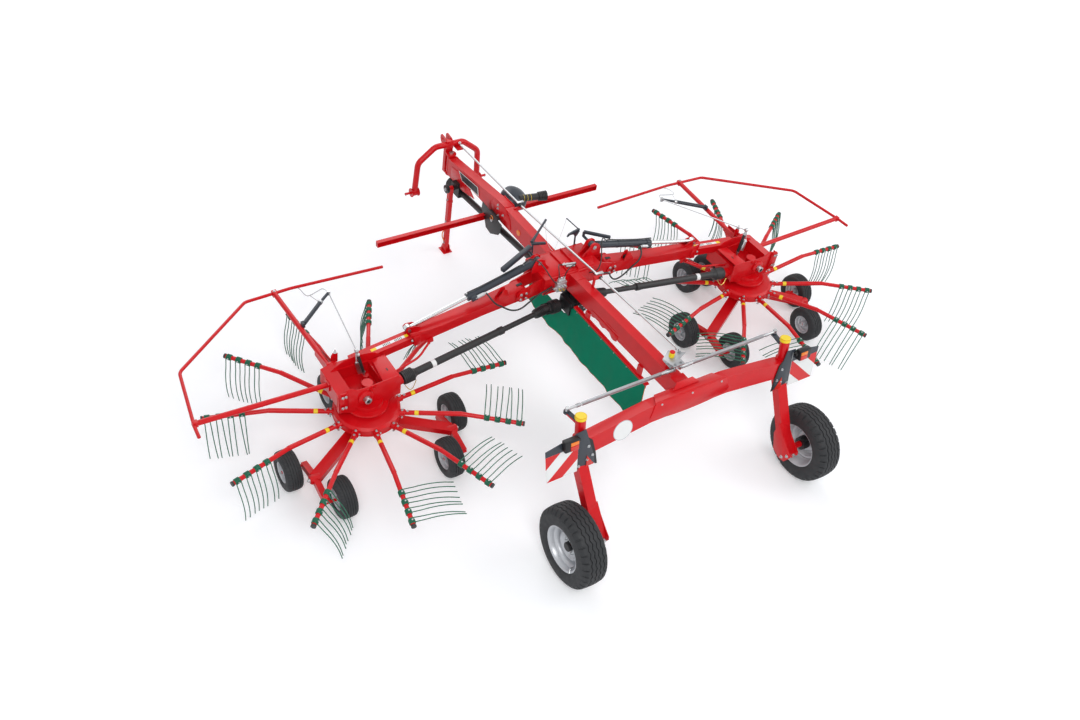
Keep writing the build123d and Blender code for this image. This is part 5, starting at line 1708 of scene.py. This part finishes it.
    def _rod_guides(self) -> None:
        """Build the guides of the steering rod."""
        work = Shape("rod_guides", "frame", PLASTIC)
        for y, z in ((2.000, 1.3577), (3.448, 1.237)):
            work.rod(
                spot(1, 0.103, y - 0.022, z + 0.0015), spot(1, 0.103, y + 0.022, z - 0.0015), 0.0185, 24
            )
        work.done(self.palette)
        steel = Shape("rod_guide_plates", "frame", LIGHT_STEEL)
        steel.block(spot(1, 0.112, 2.030, 1.380), (0.090, 0.030, 0.006), None, 0.001)
        steel.block(spot(1, 0.150, 2.030, 1.366), (0.006, 0.030, 0.030), None, 0.001)
        steel.block(spot(1, 0.112, 3.470, 1.262), (0.080, 0.030, 0.006), None, 0.001)
        steel.done(self.palette)


@dataclass
class Headstock:
    """The hitch, the parking leg and the drive input's guard.

    Attributes:
        palette: The materials.
        yoke: Station of the yoke.
    """

    palette: Palette
    yoke: float = 4.800

    def build(self) -> None:
        """Build the headstock's and the parking leg's details."""
        steel = Shape("hitch_pins", "headstock", LIGHT_STEEL)
        red = Shape("hitch_plates", "headstock", RED)
        for side in (-1, 1):
            tip = spot(side, 0.516, self.yoke, 0.655)
            turns = [0.9 * step for step in range(7)]
            ring = [tip + Vector((0, 0.018 * math.cos(a), -0.010 + 0.018 * math.sin(a))) for a in turns]
            steel.tube(ring, 0.0022, 6)
            steel.rod(tip - Vector((0, 0, 0.020)), tip + Vector((0, 0, 0.022)), 0.003, 8)
            hub = spot(side, 0.405, self.yoke, 0.655)
            for way in (-1, 1):
                face = hub + Vector((side * way * 0.0458, 0, 0))
                red.rod(face, face - Vector((side * way * 0.010, 0, 0)), 0.052, 32)
        red.bar(spot(1, 0, self.yoke, 1.150), spot(1, 0, self.yoke, 1.246), 0.084, 0.060, 0.004)
        for z, height in ((1.094, 0.020), (0.853, 0.016)):
            red.rod(spot(1, 0, 4.735, z), spot(1, 0, 4.735, z + height), 0.056, 36)
        red.done(self.palette)
        steel.rod(spot(1, 0, 4.735, 1.112), spot(1, 0, 4.735, 1.128), 0.026, 6)
        steel.bolt(spot(1, 0.103, 4.745, 1.219), UP, 0.022)
        steel.done(self.palette)
        self._input_guard()
        self._leg()

    def _input_guard(self) -> None:
        """Build the guard round the drive input."""
        guard = Shape("input_guard", "frame", PLASTIC)
        profile = (
            (0.0, 0.040), (0.0, 0.062), (0.060, 0.068), (0.105, 0.082), (0.107, 0.076), (0.060, 0.062),
            (0.004, 0.056),
        )
        guard.lathe(profile, spot(1, 0, 4.562, 0.768), AHEAD, 36)
        guard.done(self.palette)
        cover = Shape("bearing_cover", "frame", BLACK)
        for x in (-0.034, 0.034):
            for z in (0.736, 0.800):
                cover.bolt(spot(1, x, 4.430, z), REARWARD, 0.016)
        cover.rod(spot(1, 0, 4.429, 0.768), spot(1, 0, 4.405, 0.770), 0.042, 28)
        cover.done(self.palette)

    def _leg(self) -> None:
        """Build the parking leg's handle, plates and pins."""
        grip = Shape("leg_handle", "parking_leg", ORANGE)
        path = [spot(-1, *point) for point in (
            (0.178, 4.452, 0.300), (0.195, 4.470, 0.270), (0.195, 4.470, 0.180), (0.178, 4.452, 0.150),
        )]
        grip.tube(smooth_path(path, 5), 0.0065, 10)
        grip.done(self.palette)
        red = Shape("leg_plates", "parking_leg", RED)
        for way in (-1, 1):
            gusset = ((-0.060, 0.010), (0.060, 0.010), (0.030, 0.090), (-0.030, 0.090))
            red.plate(gusset, spot(-1, 0.150 + way * 0.029, 4.447, 0), AHEAD, UP, 0.004, 0.001)
        red.block(spot(-1, 0.150, 4.447, 0.700), (0.058, 0.058, 0.030), None, 0.002)
        red.done(self.palette)
        steel = Shape("leg_pins", "parking_leg", LIGHT_STEEL)
        for z in (0.720, 0.420, 0.120):
            steel.bolt(spot(-1, 0.176, 4.447, z), Vector((-1, 0, 0)), 0.018)
        steel.done(self.palette)
        cap = Shape("leg_pivot_cap", "frame", LIGHT_STEEL)
        cap.rod(spot(-1, 0.212, 4.447, 0.871), spot(-1, 0.218, 4.447, 0.871), 0.020, 24)
        cap.bolt(spot(-1, 0.218, 4.447, 0.871), Vector((-1, 0, 0)), 0.022)
        cap.done(self.palette)


@dataclass
class FrontBar:
    """The holes, drawn as black discs of painted shade, and the bolts and end plates of the bar under the
    front beam.

    Attributes:
        palette: The materials.
        station: Station of the bar's middle.
        height: Height of its middle.
        reach: Half its length.
    """

    palette: Palette
    station: float = 3.796
    height: float = 0.915
    reach: float = 1.375

    def build(self) -> None:
        """Build the bar's details."""
        steel = Shape("bar_bolts", "frame", LIGHT_STEEL)
        # The holes are black discs 0.6 mm thick on the bar's face: painted shade in them.
        dark = Shape("bar_hole_shade", "frame", BLACK)
        for side in SIDES.values():
            for x in (0.030, 0.075):
                steel.bolt(spot(side, x, self.station + 0.022, self.height), AHEAD, 0.018)
            for x in (0.620, 1.260, 1.330):
                hole = spot(side, x, self.station + 0.0221, self.height)
                dark.rod(hole, hole + Vector((0, 0.0006, 0)), 0.009, 16)
        steel.done(self.palette)
        dark.done(self.palette)
        red = Shape("bar_ends", "frame", RED)
        for side in SIDES.values():
            red.block(
                spot(side, self.reach - 0.003, self.station - 0.003, self.height),
                (0.005, 0.036, 0.050), None, 0.001,
            )
            red.plate(
                ((0.048, 0.940), (0.120, 0.945), (0.048, 0.998)),
                spot(side, 0, self.station + 0.006, 0), Vector((side, 0, 0)), UP, 0.006,
            )
        red.done(self.palette)


@dataclass
class Curtain:
    """The cloth curtain, hung from its rail.

    Attributes:
        palette: The materials.
        face: Distance of the cloth left of the middle.
        back: Station of its rear edge.
        rail_front: Station where the rail ends.
        front: Station of its front edge.
        top: Height at the rail.
        low_top: Height of the top edge ahead of the rail.
        flat: Width and height that the cloth is cut from; not used.
        flat_area: Area of the cut cloth; not used.
    """

    palette: Palette
    face: float = 0.0835
    back: float = 0.870
    rail_front: float = 2.080
    front: float = 2.850
    top: float = 0.962
    low_top: float = 0.800
    flat: tuple[float, float] = (1.98, 0.51)
    flat_area: float = 0.88

    def _upper(self, y: float) -> float:
        """Return the height of the top edge at a station."""
        if y <= self.rail_front:
            return self.top
        share = min((y - self.rail_front) / 0.120, 1.0)
        return self.top + (self.low_top - self.top) * share

    def _hem(self, y: float) -> float:
        """Return the height of the hem at a station."""
        share = (y - self.back) / (self.front - self.back)
        rise = 0.030 * max(0.0, 1.0 - (y - self.back) / 0.12)
        return 0.455 + 0.025 * share + rise + 0.007 * math.sin(y * 7.3) + 0.004 * math.sin(y * 17.0 + 1.0)

    def _cloth_point(self, u: float, v: float) -> Vector:
        """Return a point of the hanging cloth for shares along and down it."""
        y = self.back + (self.front - self.back) * u
        top, hem = self._upper(y), self._hem(y)
        fall = (1.0 - v) ** 1.5
        wave = 0.010 * math.sin(y * 9.0 + 0.6) + 0.005 * math.sin(y * 23.0) + 0.003 * math.sin(
            y * 41.0 + v * 2.0
        )
        x = self.face - wave * fall - 0.004 * fall
        return spot(-1, x, y + 0.006 * fall * math.sin(y * 13.0), hem + (top - hem) * v)

    def build(self) -> None:
        """Build the cloth and its hem."""
        cloth = Shape("curtain", "frame", CURTAIN)
        bmesh.ops.create_grid(cloth.bm, x_segments=120, y_segments=24, size=0.5)
        for vert in cloth.bm.verts:
            vert.co = self._cloth_point(vert.co.x + 0.5, vert.co.y + 0.5)
        LOG.info("the cloth measures %.3f square metres", sum(face.calc_area() for face in cloth.bm.faces))
        obj = cloth.done(self.palette, 60.0)
        solid = obj.modifiers.new("thickness", "SOLIDIFY")
        solid.thickness = 0.0016
        solid.offset = 0.0
        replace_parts(obj, "swath_curtain")
        hem = Shape("curtain_hem", "frame", ORANGE_EDGE)
        edge = [self._cloth_point(step / 160, 0.0) for step in range(161)]
        rear = [self._cloth_point(0.0, step / 20) for step in range(20, 0, -1)]
        hem.tube(rear + edge, 0.0022, 6)
        band = hem.done(self.palette, 60.0)


@dataclass
class RearAxle:
    """The cover, caps, linkage, boards and lamps of the rear axle.

    Attributes:
        palette: The materials.
        king_x: Distance of the kingpins from the middle.
        cover_face: Distance of the cover's face behind the kingpins.
        board_face: Distance of the boards behind the kingpins.
    """

    palette: Palette
    king_x: float = 1.155
    cover_face: float = 0.0583
    board_face: float = 0.0686

    def build(self) -> None:
        """Build the rear axle's details."""
        self._cover()
        self._caps()
        self._linkage()
        self._brackets()
        self._boards()
        self._lamps()
        self._legs()

    def _cover(self) -> None:
        """Build the cover, its screws and the blank speed disc."""
        work = Shape("cover", "frame", RED)
        turns = [math.pi * step / 24 for step in range(1, 24)]
        lower = [(0.452 * math.cos(a), 0.040 - 0.062 * math.sin(a)) for a in turns]
        outline = [(0.402, 0.172), (0.452, 0.040), *lower, (-0.452, 0.040), (-0.402, 0.172)]
        work.plate(outline, raked(0, 0, self.cover_face), RIGHT, RAKED_UP, 0.005, 0.0015)
        roof = ((-0.402, -0.063), (0.402, -0.063), (0.330, 0.062), (-0.330, 0.062))
        work.plate(roof, raked(0, 0.172, 0), RIGHT, -RAKED_BACK, -0.005, 0.0015)
        upright = ((-0.150, 0.0), (0.150, 0.0), (0.090, 0.060), (-0.090, 0.060))
        work.plate(
            upright, raked(0, 0.172, -0.020), RIGHT, (RAKED_UP - RAKED_BACK * 0.6).normalized(), 0.006,
            0.001,
        )
        work.block(raked(0, 0.1735, self.cover_face - 0.012), (0.800, 0.012, 0.003), None, 0.001)
        obj = work.done(self.palette)
        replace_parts(obj, "axle_cover")
        screws = Shape("cover_screws", "frame", LIGHT_STEEL)
        for x in (-0.333, 0.009, 0.345):
            screws.rod(
                raked(x, 0.148, self.cover_face + 0.005), raked(x, 0.148, self.cover_face + 0.010),
                0.010, 20,
            )
        screws.done(self.palette)
        disc = Shape("speed_disc", "frame", BOARD)
        disc.rod(raked(-0.740, 0.025, 0.058), raked(-0.740, 0.025, 0.0592), 0.100, 64)
        disc.done(self.palette)
        ring = Shape("speed_disc_edge", "frame", RIM_SILVER)
        ring.lathe(
            ((0.0, 0.096), (0.0015, 0.0965), (0.0015, 0.102), (0.0, 0.103)),
            raked(-0.740, 0.025, 0.058), RAKED_BACK, 64,
        )
        ring.done(self.palette)

    def _caps(self) -> None:
        """Build the yellow caps on the kingpins and the crank."""
        for name, side in SIDES.items():
            work = Shape(f"kingpin_cap_{name}", f"steered_leg_{name}", YELLOW)
            low, high = raked(side * self.king_x, 0.281, 0), raked(side * self.king_x, 0.3135, 0)
            axis = (high - low).normalized()
            profile = ((-0.004, 0.0520), (0.020, 0.0525), (0.027, 0.0500), (0.0315, 0.0440), (0.0325, 0.0))
            work.lathe(profile, low, axis, 40)
            work.done(self.palette)
        crown = Shape("crank_cap", "frame", YELLOW)
        crown.lathe(
            ((1.430, 0.0262), (1.474, 0.0262), (1.482, 0.0230), (1.4855, 0.0150), (1.4858, 0.0)),
            spot(1, 0, 0.740, 0), UP, 32,
        )
        crown.done(self.palette)

    def _linkage(self) -> None:
        """Build the crank's plate, the tie rods' ends and the steering arms."""
        plate = Shape("crank_plates", "steer_crank", GALVANISED)
        outline = (
            (-0.095, 0.745), (0.019, 0.816), (0.060, 0.792), (0.030, 0.745), (0.048, 0.726), (0.100, 0.762),
            (0.156, 0.729), (0.060, 0.688), (0.060, 0.613), (-0.060, 0.613), (-0.068, 0.640),
        )
        plate.plate(outline, spot(1, 0, 0, 1.4262), RIGHT, AHEAD, 0.004, 0.001)
        plate.block(spot(1, -0.076, 0.690, 1.409), (0.006, 0.110, 0.030), None, 0.001)
        for x in (-0.032, 0.032):
            plate.bolt(spot(1, x, 0.637, 1.4302), UP, 0.024)
        plate.bolt(spot(1, 0.103, 0.752, 1.4302), UP, 0.022)
        plate.done(self.palette)
        for name, side in SIDES.items():
            rod = Shape(f"tie_rod_ends_{name}", f"tie_rod_{name}", GALVANISED)
            rod.block(spot(side, 0.085, 0.637, 1.372), (0.080, 0.040, 0.016), None, 0.003)
            rod.rod(spot(side, 0.120, 0.637, 1.372), spot(side, 0.165, 0.637, 1.372), 0.017, 6)
            rod.rod(spot(side, 1.045, 0.637, 1.372), spot(side, 1.090, 0.637, 1.372), 0.017, 6)
            rod.bar(spot(side, 0.180, 0.637, 1.372), spot(side, 1.030, 0.637, 1.372), 0.026, 0.030, 0.003)
            rod.done(self.palette)
            arm = Shape(f"steering_arm_{name}", f"steered_leg_{name}", GREY_PAINT)
            hub = raked(side * self.king_x, 0.213, 0)
            tip = Vector((side * (self.king_x + 0.025), AXLE_Y + 0.651, hub.z))
            arm.bar(hub + Vector((0, 0.045, 0)), tip + Vector((0, 0.004, 0.0)), 0.048, 0.020, 0.003)
            arm.rod(tip - Vector((0, 0.012, 0.012)), tip + Vector((0, -0.012, 0.012)), 0.027, 24)
            arm.done(self.palette)

    def _brackets(self) -> None:
        """Build the bracket plates with their bolts and triangles."""
        bolts = Shape("bracket_bolts", "frame", LIGHT_STEEL)
        triangles = Shape("triangle_reflectors", "frame", LAMP_RED)
        for side in SIDES.values():
            for x, up in ((0.050, 0.009), (0.095, -0.100), (0.040, -0.130), (-0.045, -0.170)):
                bolts.bolt(raked(side * (self.king_x - x), up, self.board_face), RAKED_BACK, 0.019)
            corners = ((-0.111, -0.198), (-0.030, -0.198), (-0.037, -0.085))
            shifted = [(side * (self.king_x + x), up) for x, up in corners]
            triangles.plate(shifted, raked(0, 0, self.board_face), RIGHT, RAKED_UP, 0.008, 0.001)
        bolts.done(self.palette)
        triangles.done(self.palette)
        plate = Shape("bracket_plates", "frame", GREY_PAINT)
        for side in SIDES.values():
            outline = (
                (-0.122, -0.201), (0.063, -0.201), (0.074, -0.020), (0.091, 0.192), (-0.015, 0.202),
                (-0.024, 0.173), (-0.116, -0.122),
            )
            shifted = [(side * (self.king_x + x), up) for x, up in outline]
            plate.plate(shifted, raked(0, 0, self.board_face - 0.0052), RIGHT, RAKED_UP, 0.005, 0.001)
        plate.done(self.palette)

    def _boards(self) -> None:
        """Build the striped warning boards."""
        boards = Shape("boards", "frame", BOARD)
        bands = Shape("board_bands", "frame", GREY_PAINT)
        stripes = Shape("board_stripes", "frame", STRIPE_RED)
        for side in SIDES.values():
            panel = ((0.061, -0.214), (0.061, 0.160), (0.225, 0.160), (0.394, 0.125), (0.367, -0.214))
            boards.plate(
                [(side * (self.king_x + x), v) for x, v in panel], raked(0, 0, self.board_face), RIGHT,
                RAKED_UP, 0.003,
            )
            band = ((0.062, 0.063), (0.062, 0.162), (0.226, 0.162), (0.396, 0.127), (0.391, 0.065))
            face = raked(0, 0, self.board_face + 0.0031)
            bands.plate([(side * (self.king_x + x), v) for x, v in band], face, RIGHT, RAKED_UP, 0.0015)
            for shape in (
                ((0.390, 0.063), (0.383, -0.072), (0.240, 0.062)),
                ((0.366, -0.213), (0.212, -0.213), (0.062, -0.075), (0.062, 0.062), (0.076, 0.062)),
            ):
                corners = [(side * (self.king_x + x), v) for x, v in shape]
                stripes.plate(corners, face, RIGHT, RAKED_UP, 0.0008)
        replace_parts(boards.done(self.palette), "warning_boards")
        bands.done(self.palette)
        stripes.done(self.palette)

    def _lamps(self) -> None:
        """Build the lamps with their lenses."""
        cases = Shape("lamp_cases", "frame", BLACK)
        red = Shape("lamp_lenses", "frame", LAMP_RED)
        amber = Shape("lamp_amber", "frame", ORANGE)
        turn = Matrix((RIGHT, RAKED_UP, RAKED_BACK)).transposed()
        for side in SIDES.values():
            middle = side * (self.king_x + 0.165)
            cases.block(raked(middle, 0.140, self.board_face + 0.034), (0.140, 0.110, 0.062), turn, 0.010)
            red.block(
                raked(middle - side * 0.022, 0.116, self.board_face + 0.0660), (0.080, 0.046, 0.010),
                turn, 0.003,
            )
            amber.block(
                raked(middle - side * 0.022, 0.160, self.board_face + 0.0660), (0.080, 0.034, 0.010),
                turn, 0.003,
            )
            cases.block(
                raked(middle - side * 0.080, 0.150, self.board_face + 0.020), (0.040, 0.030, 0.040),
                turn, 0.004,
            )
        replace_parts(cases.done(self.palette), "rear_lamps")
        red.done(self.palette)
        amber.done(self.palette)

    def _legs(self) -> None:
        """Build the gussets and bolts of the steered legs."""
        for name, side in SIDES.items():
            body = f"steered_leg_{name}"
            red = Shape(f"leg_gussets_{name}", body, RED)
            steel = Shape(f"leg_bolts_{name}", body, LIGHT_STEEL)
            ahead, up = AHEAD, UP
            gusset = (
                (0.160, 0.500), (0.140, 0.650), (0.060, 0.560), (-0.050, 0.470), (-0.105, 0.430),
                (-0.110, 0.395), (-0.060, 0.300), (0.010, 0.290), (0.100, 0.330),
            )
            for x in (1.066, 1.167):
                red.plate(gusset, spot(side, x, 0, 0), ahead, up, 0.008 * side, 0.001)
            for y, z in ((-0.075, 0.390), (-0.020, 0.330)):
                steel.bolt(spot(side, 1.066, y, z), Vector((-side, 0, 0)), 0.024)
                steel.bolt(spot(side, 1.175, y, z), Vector((side, 0, 0)), 0.022)
            steel.rod(spot(side, 1.118, -0.098, 0.412), spot(side, 1.118, -0.122, 0.412), 0.015, 16)
            for share in (0.35, 0.72):
                top, foot = raked(side * self.king_x, -0.136, 0), spot(
                    side, self.king_x - 0.028, 0.060, 0.455
                )
                at = top.lerp(foot, share)
                lean = (foot - top).to_track_quat("Z", "Y").to_matrix()
                red.block(at, (0.107, 0.095, 0.004), lean, 0.001)
            red.done(self.palette)
            steel.done(self.palette)


@dataclass
class Studio:
    """The floor, the lights, the world and the camera.

    Attributes:
        palette: The materials.
        eye: Where the camera stands.
        right: Its rightward direction.
        up: Its upward direction.
        back: The direction behind it.
        focal: Its focal length in pixels of a picture that is 1080 wide.
        lights: Name, place, power and size of each soft lamp.
        glow: How brightly the floor shows by itself near the machine.
        fade: Distances between which the floor turns white.
        sky: Colour of the light from all round.
        sky_power: Its strength.
    """

    palette: Palette
    eye: tuple[float, float, float] = (-5.488178, -6.462802, 7.845724)
    right: tuple[float, float, float] = (0.837992, -0.530713, 0.126939)
    up: tuple[float, float, float] = (0.287973, 0.627694, 0.723237)
    back: tuple[float, float, float] = (-0.46351, -0.569512, 0.678834)
    focal: float = 1090.24
    lights: tuple[tuple[str, tuple[float, float, float], float, float], ...] = (
        ("key", (-6.0, -9.0, 11.0), 900.0, 7.0), ("fill", (9.0, -5.0, 8.0), 420.0, 8.0),
        ("back", (2.0, 10.0, 10.0), 520.0, 9.0),
    )
    glow: float = 0.20
    fade: tuple[float, float] = (4.5, 10.0)
    sky: tuple[float, float, float] = (0.84, 0.88, 0.95)
    sky_power: float = 0.60

    def build(self) -> None:
        """Set up the whole studio."""
        self._floor()
        self._lights()
        self._world()
        self._camera()
        bpy.context.scene.view_settings.view_transform = "Standard"

    def _floor(self) -> None:
        """Build the pale floor, which shows white to the camera's glossy and clear rays too."""
        work = bmesh.new()
        bmesh.ops.create_grid(work, x_segments=1, y_segments=1, size=40.0)
        mesh = bpy.data.meshes.new("floor")
        work.to_mesh(mesh)
        work.free()
        floor = bpy.data.objects.new("floor", mesh)
        bpy.context.scene.collection.objects.link(floor)
        mesh.materials.append(self._floor_material())

    def _floor_material(self) -> bpy.types.Material:
        """Return the floor's material, which fades to white away from the machine.

        Returns:
            The pale material, lit up for camera, glossy and transmission rays alone.
        """
        material = self.palette.material(PALE_FLOOR)
        nodes, links = material.node_tree.nodes, material.node_tree.links
        shader = nodes["Principled BSDF"]
        where = nodes.new("ShaderNodeTexCoord")
        reach = nodes.new("ShaderNodeVectorMath")
        reach.operation = "LENGTH"
        fade = nodes.new("ShaderNodeMapRange")
        set_inputs(fade, {"From Min": self.fade[0], "From Max": self.fade[1]})
        set_inputs(fade, {"To Min": self.glow, "To Max": 1.0})
        seen = direct_rays(material.node_tree)
        amount = calculate(material.node_tree, "MULTIPLY", seen, fade.outputs["Result"])
        links.new(where.outputs["Object"], reach.inputs[0])
        links.new(reach.outputs["Value"], fade.inputs["Value"])
        links.new(amount.outputs["Value"], shader.inputs["Emission Strength"])
        shader.inputs["Emission Color"].default_value = (1.0, 1.0, 1.0, 1.0)
        return material

    def _lights(self) -> None:
        """Hang the soft lamps."""
        for name, place, power, size in self.lights:
            light = bpy.data.lights.new(name, "AREA")
            light.energy = power
            light.size = size
            lamp = bpy.data.objects.new(name, light)
            lamp.location = place
            lamp.rotation_euler = (-Vector(place)).to_track_quat("-Z", "Y").to_euler()
            bpy.context.scene.collection.objects.link(lamp)

    def _world(self) -> None:
        """Light the object softly from all round, before a white background."""
        world = bpy.data.worlds.new("studio")
        bpy.context.scene.world = world
        world.use_nodes = True
        nodes, links = world.node_tree.nodes, world.node_tree.links
        nodes.clear()
        soft = nodes.new("ShaderNodeBackground")
        set_inputs(soft, {"Color": (*self.sky, 1.0), "Strength": self.sky_power})
        white = nodes.new("ShaderNodeBackground")
        set_inputs(white, {"Color": (1.0, 1.0, 1.0, 1.0), "Strength": 1.0})
        mix = nodes.new("ShaderNodeMixShader")
        result = nodes.new("ShaderNodeOutputWorld")
        links.new(direct_rays(world.node_tree), mix.inputs["Fac"])
        links.new(soft.outputs["Background"], mix.inputs[1])
        links.new(white.outputs["Background"], mix.inputs[2])
        links.new(mix.outputs["Shader"], result.inputs["Surface"])

    def _camera(self) -> None:
        """Stand the camera where the photograph was taken from."""
        data = bpy.data.cameras.new("photo_view")
        data.sensor_width = 36.0
        data.lens = self.focal * data.sensor_width / PHOTO_WIDTH
        data.clip_end = 200.0
        camera = bpy.data.objects.new("photo_view", data)
        turn = Matrix((self.right, self.up, self.back)).transposed().to_4x4()
        camera.matrix_world = Matrix.Translation(self.eye) @ turn
        bpy.context.scene.collection.objects.link(camera)
        bpy.context.scene.camera = camera


def paint_nodes(frame: dict, palette: Palette) -> None:
    """Give every CAD node the material of its slot.

    Args:
        palette: The materials.
    """
    slots = {part["node"]: part["material_slot"] for part in frame["record"]["subparts"]}
    for name, node in frame["nodes"].items():
        node.data.materials.clear()
        finish = GREY_PAINT if name.startswith("lift_barrel") else NODE_FINISHES[slots[name]]
        node.data.materials.append(palette.material(finish))


def main() -> None:
    """Build the machine's looks and its studio."""
    logging.basicConfig(level=logging.INFO)
    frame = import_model()
    palette = Palette()
    paint_nodes(frame, palette)
    assemblies = [
        Studio(palette), Curtain(palette), CrossMember(palette), DriveLine(palette), Beams(palette)
    ]
    assemblies += [Headstock(palette), FrontBar(palette), RearAxle(palette), Wheels(palette)]
    for name in SIDES:
        assemblies += [FoldingArm(name, palette), RotorHead(name, palette), GuardLinkage(name, palette)]
        assemblies.append(Rotor(name, palette))
    for assembly in assemblies:
        LOG.info("building %s", type(assembly).__name__)
        assembly.build()


if __name__ == "__main__":
    main()
